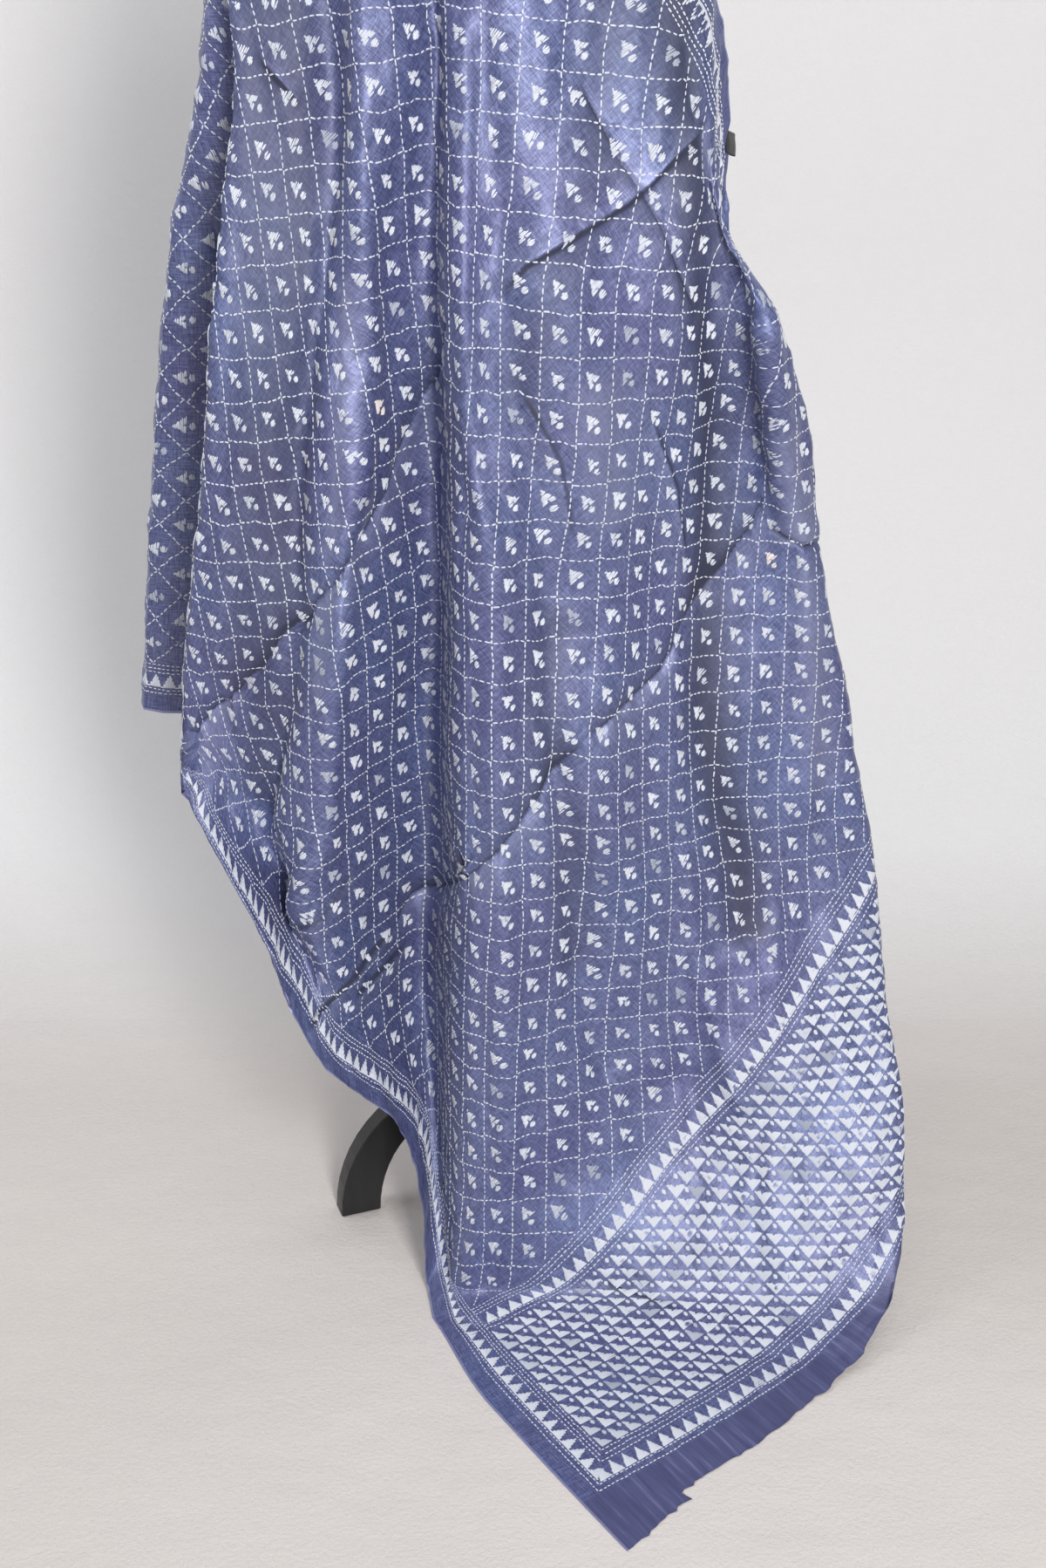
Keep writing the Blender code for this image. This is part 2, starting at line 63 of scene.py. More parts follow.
# Folds of the front, from the right-hand end round to the left pleat: end, turn, side, side ridge,
# side dip, hollow, ridge, lip, valley, left ridge, bay and pleat. Each section starts with its bias
# height. Then come, for all the folds in turn, the cells right of the middle column, x, the depth
# behind the front plane and, near the floor or on the shoulder cap, the height.
FRONT_SECTIONS = (
    (0.3, (13.2, 12.9, 12.4, 11, 9, 6.4, 0.8, -0.8, -2, -2.5, -2.9, -3.25),
     (0.342, 0.341, 0.336, 0.292, 0.232, 0.155, -0.02, -0.06, -0.073, -0.08, -0.086, -0.09),
     (-0.023, -0.032, -0.045, -0.045, -0.04, -0.03, -0.014, -0.008, 0.01, 0.012, 0.008, 0.002),
     (0.044, 0.04, 0.036, 0.03, 0.024, 0.02, 0.016, 0.015, 0.013, 0.012, 0.01, 0.008)),
    (0.355, (14.76, 14.3, 13.2, 11.1, 9, 6.3, 0.6, -1, -3, -3.8, -4.4, -4.9),
     (0.338, 0.345, 0.35, 0.292, 0.232, 0.153, -0.022, -0.058, -0.078, -0.084, -0.089, -0.093),
     (0.044, 0.032, -0.002, -0.015, -0.012, -0.004, -0.01, -0.004, 0.045, 0.043, 0.028, 0.01),
     (0.088, 0.085, 0.078, 0.072, 0.068, 0.066, 0.068, 0.069, 0.07, 0.07, 0.07, 0.069)),
    (0.43, (16.98, 15.6, 13.3, 11.2, 9, 6.2, 0.6, -1, -4.2, -5.4, -6.3, -7.1),
     (0.275, 0.318, 0.353, 0.296, 0.232, 0.15, -0.022, -0.055, -0.083, -0.094, -0.101, -0.106),
     (0.12, 0.105, 0.032, 0.022, 0.028, 0.042, -0.006, 0, 0.085, 0.078, 0.054, 0.035),
     (0.15, 0.146, 0.14, 0.136, 0.133, 0.135, 0.145, 0.146, 0.147, 0.146, 0.145, 0.144)),
    (0.566, (21, 19.5, 13.2, 11, 8.6, 5.6, 0.4, -1.1, -5, -8.4, -9.8, -11.1),
     (0.13, 0.175, 0.339, 0.275, 0.205, 0.12, -0.024, -0.054, -0.094, -0.154, -0.172, -0.184),
     (0.185, 0.192, 0.108, 0.085, 0.068, 0.072, -0.004, 0.01, 0.135, 0.04, 0.008, -0.012)),
    (0.7, (24.97, 20.8, 13.4, 10.8, 8.2, 4.6, -0.2, -1.3, -4.9, -9.4, -12, -15.1),
     (0.195, 0.07, 0.323, 0.253, 0.19, 0.095, -0.034, -0.053, -0.086, -0.186, -0.214, -0.239),
     (0.255, 0.212, 0.142, 0.118, 0.1, 0.06, 0, 0.012, 0.125, 0.016, 0.076, -0.005)),
    (0.79, (24.1, 20.3, 12.8, 10.4, 8.2, 4.4, -0.3, -1.5, -4.6, -9, -12.9, -17.75),
     (0.175, 0.055, 0.3, 0.238, 0.177, 0.088, -0.035, -0.054, -0.082, -0.178, -0.243, -0.293),
     (0.245, 0.209, 0.14, 0.118, 0.093, 0.046, 0, 0.012, 0.11, 0.016, 0.068, 0.045)),
    (0.837, (22.7, 19.8, 12.4, 10.2, 8.3, 4.2, -0.3, -1.5, -4.5, -8.7, -12.4, -15.6),
     (0.15, 0.052, 0.291, 0.233, 0.179, 0.083, -0.035, -0.054, -0.08, -0.17, -0.243, -0.291),
     (0.238, 0.205, 0.138, 0.117, 0.098, 0.044, 0, 0.012, 0.104, 0.018, 0.062, 0.05)),
    (0.972, (18.7, 17, 11.4, 9.8, 8.4, 3.6, -0.3, -1.5, -4.2, -7.5, -10.6, -13.4),
     (0.045, 0.095, 0.257, 0.219, 0.183, 0.074, -0.036, -0.053, -0.073, -0.146, -0.206, -0.273),
     (0.17, 0.182, 0.122, 0.112, 0.108, 0.061, 0, 0.012, 0.092, 0.006, 0.022, 0.042)),
    (1.073, (15.7, 14.6, 11.2, 9.6, 8.4, 3.8, -0.3, -1.6, -3.9, -6.8, -9.2, -12.2),
     (0.12, 0.155, 0.242, 0.21, 0.19, 0.084, -0.028, -0.051, -0.073, -0.14, -0.186, -0.254),
     (0.165, 0.16, 0.11, 0.085, 0.105, 0.052, 0, 0.012, 0.086, 0.008, 0.02, 0.028)),
    (1.208, (11.7, 10.6, 9.4, 8.4, 7.4, 4.6, -0.2, -2, -3.5, -6, -8, -11.1),
     (0.168, 0.182, 0.1965, 0.184, 0.17, 0.115, -0.022, -0.055, -0.072, -0.135, -0.17, -0.235),
     (0.092, 0.075, 0.045, 0.03, 0.05, 0.032, 0, 0.004, 0.055, 0.017, 0.018, 0.012)),
    (1.29, (9.22, 8.4, 7.3, 6.2, 5.2, 3.4, -0.3, -2, -3.1, -5.1, -7.1, -10.1),
     (0.158, 0.1525, 0.15, 0.1495, 0.14, 0.097, -0.019, -0.0545, -0.067, -0.116, -0.156, -0.223),
     (0.08, 0.073, 0.062, 0.038, 0.036, 0.03, 0.01, 0.013, 0.05, 0.016, 0.025, 0.02)),
    (1.377, (6.7, 6.3, 5.7, 4.8, 4, 2.4, -0.4, -2, -2.8, -4.2, -6.2, -9.05),
     (0.1575, 0.153, 0.149, 0.142, 0.126, 0.071, -0.016, -0.054, -0.062, -0.098, -0.142, -0.211),
     (0.105, 0.098, 0.086, 0.056, 0.04, 0.033, 0.02, 0.024, 0.045, 0.015, 0.033, 0.03)),
    (1.475, (3.8, 3.6, 3.3, 2.9, 2.3, 1.2, -0.6, -2.2, -2.9, -4.1, -5.8, -8.3),
     (0.129, 0.127, 0.1225, 0.111, 0.091, 0.047, -0.016, -0.066, -0.081, -0.11, -0.15, -0.214),
     (0.098, 0.085, 0.072, 0.058, 0.046, 0.038, 0.028, 0.032, 0.042, 0.026, 0.036, 0.045)),
    (1.6, (0.12, -0.15, -0.5, -0.9, -1.3, -1.8, -2.4, -3, -3.6, -4.3, -5.2, -6.2),
     (0.02, 0.01, -0.002, -0.016, -0.03, -0.047, -0.068, -0.089, -0.11, -0.135, -0.168, -0.205),
     (0.078, 0.066, 0.057, 0.051, 0.048, 0.045, 0.043, 0.044, 0.048, 0.052, 0.062, 0.085)),
    (1.664, (-1.78, -2, -2.3, -2.6, -2.9, -3.2, -3.5, -3.8, -4.1, -4.5, -4.85, -5.2),
     (-0.045, -0.052, -0.063, -0.073, -0.084, -0.095, -0.106, -0.117, -0.128, -0.142, -0.154, -0.165),
     (0.105, 0.104, 0.103, 0.103, 0.103, 0.104, 0.106, 0.109, 0.112, 0.117, 0.123, 0.13),
     (1.366, 1.367, 1.368, 1.368, 1.368, 1.368, 1.368, 1.367, 1.367, 1.366, 1.365, 1.364)),
    (1.74, (-4.17,) * 12, (-0.125,) * 12, (0.155,) * 12, (1.388,) * 12),
)

# Cells of each fold along the line where the cloth leaves the floor.
FLOOR_CELLS = (11.42, 11.15, 10.5, 9.4, 8.1, 6.0, 0.9, -0.3, -0.8, -1.1, -1.3, -1.48)

# Folds behind the left pleat: three of the turned-back layer, the left edge and the corner of the back
# panel, its six hanging pleats and its far end. Each section starts with t, the distance up from the
# hem. Then come, for all the folds in turn, x, the depth and, on the shoulder cap, the height.
BACK_SECTIONS = (
    (0, (-0.2, -0.1, -0.2, -0.345, -0.325, -0.25, -0.18, -0.11, -0.04, 0.03, 0.1, 0.165),
     (0.104, 0.155, 0.168, 0.176, 0.262, 0.325, 0.3, 0.345, 0.31, 0.35, 0.315, 0.345)),
    (0.2, (-0.2, -0.115, -0.2, -0.32, -0.305, -0.235, -0.17, -0.11, -0.045, 0.02, 0.08, 0.14),
     (0.085, 0.14, 0.15, 0.158, 0.245, 0.312, 0.275, 0.328, 0.285, 0.332, 0.29, 0.325)),
    (0.45, (-0.195, -0.14, -0.2, -0.28, -0.27, -0.21, -0.16, -0.11, -0.055, 0, 0.05, 0.11),
     (0.056, 0.102, 0.116, 0.12, 0.205, 0.282, 0.235, 0.298, 0.243, 0.302, 0.248, 0.29)),
    (0.6, (-0.198, -0.18, -0.206, -0.2415, -0.24, -0.195, -0.155, -0.115, -0.065, -0.015, 0.03, 0.085),
     (0.05, 0.064, 0.078, 0.088, 0.172, 0.265, 0.228, 0.29, 0.238, 0.295, 0.243, 0.285)),
    (0.71, (-0.22, -0.225, -0.229, -0.232, -0.227, -0.19, -0.15, -0.11, -0.06, -0.01, 0.035, 0.085),
     (0.056, 0.067, 0.08, 0.1, 0.19, 0.28, 0.258, 0.305, 0.265, 0.31, 0.268, 0.3)),
    (0.84, (-0.216, -0.22, -0.223, -0.224, -0.208, -0.178, -0.14, -0.1, -0.05, 0, 0.045, 0.09),
     (0.106, 0.121, 0.141, 0.17, 0.25, 0.302, 0.303, 0.325, 0.306, 0.33, 0.306, 0.315)),
    (0.92, (-0.17, -0.172, -0.173, -0.172, -0.16, -0.14, -0.115, -0.08, -0.04, 0, 0.035, 0.07),
     (0.14, 0.151, 0.166, 0.186, 0.225, 0.255, 0.264, 0.273, 0.274, 0.276, 0.272, 0.268),
     (1.363, 1.363, 1.363, 1.364, 1.364, 1.361, 1.363, 1.364, 1.366, 1.364, 1.362, 1.36)),
    (1, (-0.126, -0.127, -0.127, -0.125, -0.115, -0.1, -0.08, -0.055, -0.025, 0.005, 0.03, 0.055),
     (0.16, 0.166, 0.174, 0.184, 0.2, 0.212, 0.216, 0.22, 0.222, 0.222, 0.22, 0.218),
     (1.389, 1.389, 1.389, 1.39, 1.392, 1.394, 1.396, 1.399, 1.4, 1.4, 1.399, 1.397)),
)
HEM_Z = 0.520
BACK_RISE = 0.944
TIP_P = 0.790  # bias height of the tip where the left selvedge turns behind
APEX_P = 1.740  # bias height where the front runs out at the right selvedge

# How far each part of the front has dropped, by cells from the middle column.
DROP_CELLS = (-9.0, -6.0, -3.0, 0.0, 3.0, 5.0, 8.0)
DROP = (-0.008, -0.002, 0.008, 0.000, -0.012, -0.015, -0.018)

# The stitched pattern, flat.
END_LINES = (0.064, 0.070, 0.090, 0.095, 0.100)  # across each end, from its raw edge
PANEL = (0.102, 0.282)  # the dense end panel
PANEL_CELLS = (11, 55)  # its cells, in from the end and along it
BAND_LINES = (0.285, 0.290, 0.310, 0.315, 0.320)  # across, between the end panel and the field
SIDE_LINES = (0.020, 0.025, 0.042, 0.046, 0.050)  # along each selvedge
FIELD = (0.322, 0.051)
LINE_DASH = 0.0046
LATTICE_DASH = 0.0056
LATTICE_SPARE = 0.05  # drawn past the field, then cut off at its edge

# The border's triangles: pitch, first place, base line and height, across the ends and along the sides.
TOOTH = 0.0138
TOOTH_MARGIN = 0.028
TOOTH_BASES = (0.072, 0.292)
TOOTH_TALL = 0.015
SIDE_TOOTH_MARGIN = 0.075
SIDE_TOOTH_BASE = 0.0265
SIDE_TOOTH_TALL = 0.0135

# The motif in each square: a satin triangle and, beyond its base, an oval of a few threads, with half
# the length of each. DOT is the panel's round dot: where each thread lies and half its length.
MOTIF_TALL = 0.0110
MOTIF_WIDE = 0.0136
MOTIF_CLEAR = 0.011  # least distance of a motif's middle from the field's edge
OVAL = (0.0022, 0.0034, 0.0037, 0.0034, 0.0023)
OVAL_PITCH = 0.00102
DOT = ((-0.0018, 0.0013), (-0.0006, 0.0023), (0.0006, 0.0023), (0.0018, 0.0014))

LABEL_WIDE = 0.010
LABEL_LONG = 0.017
LABEL_HEIGHTS = (1.322, 1.340)  # bias heights between which the right selvedge carries the label

# How far the raw end is worn away, by the distance along it from the low corner.
WORN_AT = (0.0, 0.03, 0.06, 0.092, 0.100, 0.13, 0.20, 0.26, 0.31, 0.50, 0.80, 1.0)
WORN = (0.0, 0.004, 0.010, 0.013, 0.024, 0.027, 0.026, 0.030, 0.033, 0.030, 0.027, 0.0)

# Soft vertical flutes of the front: height out, half width, then points as cells from the middle
# column and bias height.
FLUTES = (
    (0.0095, 0.015, (-4.4, 1.45), (-5, 1.38), (-5.4, 1.22), (-6.2, 1.1), (-7.3, 1), (-8.3, 0.88),
     (-8.8, 0.76), (-11.2, 0.63)),
    (0.008, 0.013, (-1.5, 1.42), (-1.5, 1.3), (-1.4, 1.2), (-1, 1.1), (0.1, 1), (0.2, 0.88), (0.2, 0.77),
     (0.5, 0.65), (0.7, 0.52), (0.9, 0.4)),
    (0.0105, 0.034, (-1.1, 1.48), (-0.2, 1.4), (0.8, 1.3), (1.4, 1.22), (2.6, 1.1), (3.4, 1), (3.4, 0.88),
     (3.7, 0.76), (4.8, 0.62), (5.8, 0.49)),
    (0.0085, 0.018, (8.3, 1.23), (9.4, 1.11), (10.6, 1), (10.8, 0.86), (10.9, 0.72)),
    (-0.012, 0.017, (-5.6, 1.48), (-6.1, 1.4), (-6.5, 1.3), (-7, 1.22), (-8.6, 1.11), (-9.5, 1),
     (-10, 0.88), (-12.6, 0.74)),
    (-0.0065, 0.012, (-0.1, 1.3), (0, 1.22), (0.6, 1.11), (1.6, 1), (1.8, 0.88), (2.4, 0.77), (3, 0.64),
     (4, 0.49)),
    (-0.0105, 0.024, (2, 1.48), (3.6, 1.4), (5.3, 1.31), (6.5, 1.23), (7.2, 1.1), (7.3, 0.98), (7.4, 0.87),
     (8, 0.74), (8.6, 0.62)),
    (0.0055, 0.012, (-9.6, 1.2), (-10.6, 1.1), (-12, 1), (-13, 0.9)),
    (0.006, 0.013, (6.2, 0.74), (7.2, 0.6), (8.2, 0.46)),
)

# Sharp creases of the front: how far they stand out, the widths of their upper and lower sides, then
# points in the same way.
CREASES = (
    (0.0042, 0.016, 0.0024, (5, 1.355), (2.8, 1.29), (0.5, 1.24), (-0.2, 1.21)),
    (-0.006, 0.01, 0.015, (9.1, 1.055), (8, 0.985), (6.8, 0.945), (5.7, 0.9), (2.7, 0.85)),
    (-0.0055, 0.01, 0.014, (2.9, 0.855), (0.9, 0.77), (-0.7, 0.725), (-3.5, 0.67), (-6.3, 0.617)),
    (0.0052, 0.0024, 0.013, (-6, 0.622), (-8.5, 0.6), (-11.5, 0.581)),
    (-0.0075, 0.011, 0.018, (-4, 1.11), (-5.2, 1.055), (-6.1, 1.03), (-9.9, 0.945), (-12, 0.88),
     (-16.6, 0.81)),
    (-0.0026, 0.006, 0.006, (1.3, 1.38), (2.6, 1.315), (3.6, 1.28), (5.6, 1.21)),
    (0.0032, 0.003, 0.008, (-8.2, 1.4), (-8, 1.385), (-7.1, 1.35)),
    (0.0058, 0.0024, 0.012, (-5.3, 0.593), (-7.1, 0.587), (-8.7, 0.581)),
    (-0.0072, 0.003, 0.003, (9, 1.02), (10.2, 1.005), (11.7, 1)),
    (0.0051, 0.0024, 0.006, (-0.4, 0.745), (-1.3, 0.72), (-2.2, 0.7)),
    (-0.0058, 0.0024, 0.003, (-1.9, 0.745), (-1.3, 0.72), (-0.9, 0.69)),
    (-0.0041, 0.003, 0.005, (3.4, 0.32), (5, 0.3), (6.3, 0.283)),
    (-0.0032, 0.003, 0.003, (4, 0.336), (5.5, 0.305)),
    (0.0032, 0.009, 0.003, (4.2, 1.13), (5.6, 1.06), (6.4, 0.99)),
    (0.0029, 0.008, 0.003, (0.4, 1.15), (1.6, 1.09), (2.2, 1.02)),
    (-0.0029, 0.005, 0.003, (-2, 1.2), (-3.6, 1.13), (-4.6, 1.09)),
    (0.0029, 0.003, 0.008, (-7.5, 0.72), (-9, 0.68), (-10.5, 0.66)),
)

# Painted shade (above 0) and painted highlight (below 0) along the broad folds, standing in for the silk's
# sheen: strength, half width, points.
PAINTED_SHADE_BANDS = (
    (0.42, 0.03, (-6.6, 1.48), (-7, 1.389), (-7.4, 1.303), (-7.9, 1.222), (-9, 1.108), (-9.8, 1.004),
     (-10.6, 0.885), (-12.7, 0.758)),
    (0.34, 0.03, (-7.8, 1.48), (-8.8, 1.341), (-9.2, 1.27), (-10, 1.141), (-11.2, 1.008), (-12.3, 0.87)),
    (0.68, 0.028, (2.8, 1.48), (3.7, 1.398), (4.6, 1.312), (5.6, 1.227), (6.9, 1.108), (7.2, 0.99),
     (7.5, 0.876), (8.4, 0.74), (8.7, 0.614)),
    (0.28, 0.022, (1.7, 1.46), (1.9, 1.393), (2, 1.322), (1.6, 1.24), (0.6, 1.165), (0.6, 1.1)),
    (-0.34, 0.032, (2.2, 1.17), (2.8, 1.123), (3.6, 1.02)),
    (-0.32, 0.01, (-5.8, 1.24), (-6.3, 1.161), (-7.4, 1.042), (-8.2, 0.971), (-8.8, 0.88)),
    (-0.35, 0.016, (9.6, 1.13), (10.8, 0.942), (11.5, 0.75)),
    (0.38, 0.024, (2, 0.98), (1.4, 0.89), (2.5, 0.767), (2.7, 0.61)),
)


def on_bias(a, b):
    """p and q of a flat place s, t. The same sum turns p and q back into s and t."""
    return (a + b) / ROOT2, (a - b) / ROOT2


def pleat_p(t):
    """Bias height of the left pleat's edge, at which the sheet turns behind."""
    return TIP_P + (APEX_P - TIP_P) * t


def slopes_of(at, values):
    """The slope of a smooth curve at each given value, which never overshoots them."""
    step = np.diff(at)
    rise = np.diff(values, axis=0) / step[:, None]
    slope = np.zeros_like(values)
    slope[0], slope[-1] = rise[0], rise[-1]
    before, after = step[:-1, None], step[1:, None]
    near = 2 * after + before
    far = after + 2 * before
    same = rise[:-1] * rise[1:] > 0
    low = np.where(same, rise[:-1], 1.0)
    high = np.where(same, rise[1:], 1.0)
    slope[1:-1] = np.where(same, (near + far) / (near / low + far / high), 0.0)
    return slope


def smooth_at(where, at, values, slope):
    """The smooth curve through the values, at one place."""
    i = int(np.clip(np.searchsorted(at, where) - 1, 0, len(at) - 2))
    step = at[i + 1] - at[i]
    f = (where - at[i]) / step
    a = (1 + 2 * f) * (1 - f) ** 2 * values[i] + f * (1 - f) ** 2 * step * slope[i]
    b = f * f * (3 - 2 * f) * values[i + 1] + f * f * (f - 1) * step * slope[i + 1]
    return a + b


def bend(value, start, end):
    """0 before start, 1 after end, smooth between."""
    f = min(max((value - start) / (end - start), 0.0), 1.0)
    return f * f * (3 - 2 * f)


def on_floor(s, t):
    """A point of the corner that lies on the floor. The lower end lifts off towards the right."""
    tuck = 0.020 * bend(s, 0.20, 0.36) * (1 - bend(t, 0.0, 0.05))
    lift = bend(t, 0.24, 0.36)
    x = CORNER_X - 0.575 * s + 0.08 * s * s + 0.80 * t - 0.07 * t * t + tuck
    y = CORNER_Y + 0.835 * s + 0.56 * t + 0.25 * t * t
    return x, y, FLOOR_Z + 0.016 * lift


def floor_section():
    """Cells, x, y and z of each fold where the cloth leaves the floor."""
    return [(cells,) + on_floor(*on_bias(FLOOR_END, CENTRE_Q - CELL * cells)) for cells in FLOOR_CELLS]


def measured(places, height):
    """x, y and z of the folds. The given height holds where the section has none."""
    x, y, *z = places
    return [x, y, z[0] if z else height]


def front_table():
    """Bias heights, and for each the cells, x, y and z of every fold."""
    heights, table = [FLOOR_END], [floor_section()]
    for p, cells, *places in FRONT_SECTIONS:
        height = p - HANG + np.interp(cells, DROP_CELLS, DROP)
        heights.append(p)
        table.append(np.column_stack([cells] + measured(places, height)))
    return np.array(heights), np.array(table).reshape(len(table), -1)


def back_table():
    """Distances up from the hem, and for each the x, y and z of every fold."""
    heights, table = [], []
    for t, *places in BACK_SECTIONS:
        height = np.full(len(places[0]), HEM_Z + BACK_RISE * t)
        heights.append(t)
        table.append(np.column_stack(measured(places, height)))
    return np.array(heights), np.array(table).reshape(len(table), -1)


# ---------------------------------------------------------------- the sheet

FINE_ZONE = 0.0085  # each side of a sharp crease
FINE_CUTS = 3  # in each edge there
FLOOR_ROWS = 48
LOW_ROWS = 170
HIGH_ROWS = 200
FRONT_STEPS = (11, 18, 12, 10, 17, 17, 10, 13, 17, 13, 13)
BACK_STEPS = (6, 6, 7, 7) + (6,) * 8
FRONT_COUNT = sum(FRONT_STEPS) + 1
CURVE_POINTS = 33  # between two folds, before the equal steps are laid along the curve
WEAR = 0.97  # share of the table's wear at the raw ends
FRAY = 0.0010  # how unevenly the rows end there
EASED = 14  # points moved along after a worn end
HEM_TURN = 0.019  # margin of the left selvedge that curls under
HEM_ZONE = 0.10  # cloth that gives way for it


def between(at, start, end, first, second):
    return (end - at) / (end - start) * first + (at - start) / (end - start) * second


def lengths(points):
    """How far along its line each point is."""
    return np.concatenate([[0.0], np.cumsum(np.linalg.norm(np.diff(points, axis=0), axis=1))])


def moved(to, at, points):
    """The line's points at other places along it."""
    return np.stack([np.interp(to, at, points[:, axis]) for axis in range(3)], axis=1)


def spline(points, steps):
    """A smooth line through the points, with the given number of equal steps between each two."""
    ends = np.vstack([2 * points[0] - points[1], points, 2 * points[-1] - points[-2]])
    gap = np.sqrt(np.linalg.norm(np.diff(ends, axis=0), axis=1)) + 1e-5
    knots = np.concatenate([[0.0], np.cumsum(gap)])
    line = [points[:1]]
    for i, count in enumerate(steps):
        t0, t1, t2, t3 = knots[i:i + 4]
        at = np.linspace(t1, t2, CURVE_POINTS)[:, None]
        a, b, c = (between(at, *knots[j:j + 2], *ends[j:j + 2]) for j in range(i, i + 3))
        curve = between(at, t1, t2, between(at, t0, t2, a, b), between(at, t1, t3, b, c))
        run = lengths(curve)
        line.append(moved(np.linspace(0, run[-1], count + 1)[1:], run, curve))
    return np.vstack(line)


def spread(values, steps):
    """The values at the folds, carried evenly along the steps between them."""
    at = np.concatenate([[0], np.cumsum(steps)])
    return np.interp(np.arange(at[-1] + 1), at, values)


def build_rows():
    """Rows of points, each with its flat place: p and q in front, t and s behind the pleat."""
    heights, table = front_table()
    slope = slopes_of(heights, table)
    low, high = [], []
    rng = np.random.default_rng(31)
    for p in np.linspace(0.0, FLOOR_END, FLOOR_ROWS, endpoint=False):
        cells = CENTRE_Q / CELL - (CENTRE_Q / CELL - np.array(FLOOR_CELLS)) * p / FLOOR_END
        q = CENTRE_Q - CELL * cells
        points = spline(np.array([on_floor(*on_bias(p, b)) for b in q]), FRONT_STEPS)
        low.append((p,) + worn_back(p, spread(q, FRONT_STEPS), points, rng))
    for p in np.linspace(FLOOR_END, TIP_P, LOW_ROWS - FLOOR_ROWS, endpoint=False):
        folds = smooth_at(p, heights, table, slope).reshape(-1, 4)
        q = spread(CENTRE_Q - CELL * folds[:, 0], FRONT_STEPS)
        points = turned_hem(p, q, spline(folds[:, 1:], FRONT_STEPS))
        low.append((p,) + worn_back(p, q, points, rng))
    levels, back = back_table()
    back_slope = slopes_of(levels, back)
    for t in np.linspace(0.0, 1.0, HIGH_ROWS + 1):
        p = pleat_p(t)
        folds = smooth_at(p, heights, table, slope).reshape(-1, 4)
        behind = smooth_at(t, levels, back, back_slope).reshape(-1, 3)
        line = spline(np.vstack([folds[:, 1:], behind]), FRONT_STEPS + BACK_STEPS)
        q = spread(CENTRE_Q - CELL * folds[:, 0], FRONT_STEPS)
        rest = line[FRONT_COUNT - 1:]
        run = lengths(rest)
        start = ROOT2 * p - t
        s = start + (CLOTH_LENGTH - start) * run / max(run[-1], 1e-6)
        s, line[len(line) - len(s):] = worn_far(t, s, rest, rng)
        high.append((p, q, t, s, line))
    return low, high


def worn_back(p, q, points, rng):
    """Ends the row where the raw end is worn away, and eases the next points along after it."""
    along = np.interp(ROOT2 * p, WORN_AT, WORN)
    if along <= 0 or ROOT2 * p > 1:
        return q, points
    along = max(along * WEAR + rng.normal(0, FRAY), 0.0002)
    index = np.arange(len(q))
    start = np.interp(ROOT2 * along - p, q, index)
    last = min(int(start) + EASED, len(q) - 1)
    at = np.concatenate([np.linspace(start, last, last + 1), index[last + 1:]])
    return np.interp(at, index, q), moved(at, index, points)


def worn_far(t, s, points, rng):
    """Ends a back row where the far raw end is worn away."""
    worn = np.interp(1 - t, WORN_AT, WORN) * WEAR
    if worn <= 0 or s[-1] - s[0] < 0.2:
        return s, points
    index = np.arange(len(s))
    end = np.interp(CLOTH_LENGTH - worn - abs(rng.normal(0, FRAY)), s, index)
    first = max(int(end) - EASED, 0)
    at = np.concatenate([index[:first], np.linspace(first, end, len(s) - first)])
    return np.interp(at, index, s), moved(at, index, points)


def turned_hem(p, q, points):
    """Turns the plain margin of the left selvedge back, where it curls under."""
    width = HEM_TURN * bend(p, 0.60, 0.66) * (1 - bend(p, 0.770, 0.790))
    if width <= 0:
        return points
    shown = 0.35 * width
    t = (p - q) / ROOT2
    look = np.where(t < width, t * shown / width,
                    shown + (t - width) * (HEM_ZONE - shown) / (HEM_ZONE - width))
    turned = moved(np.where(t < HEM_ZONE, look, t), t[::-1], points[::-1])
    turned[:, 1] += 0.85 * np.maximum(width - t, 0)
    return turned


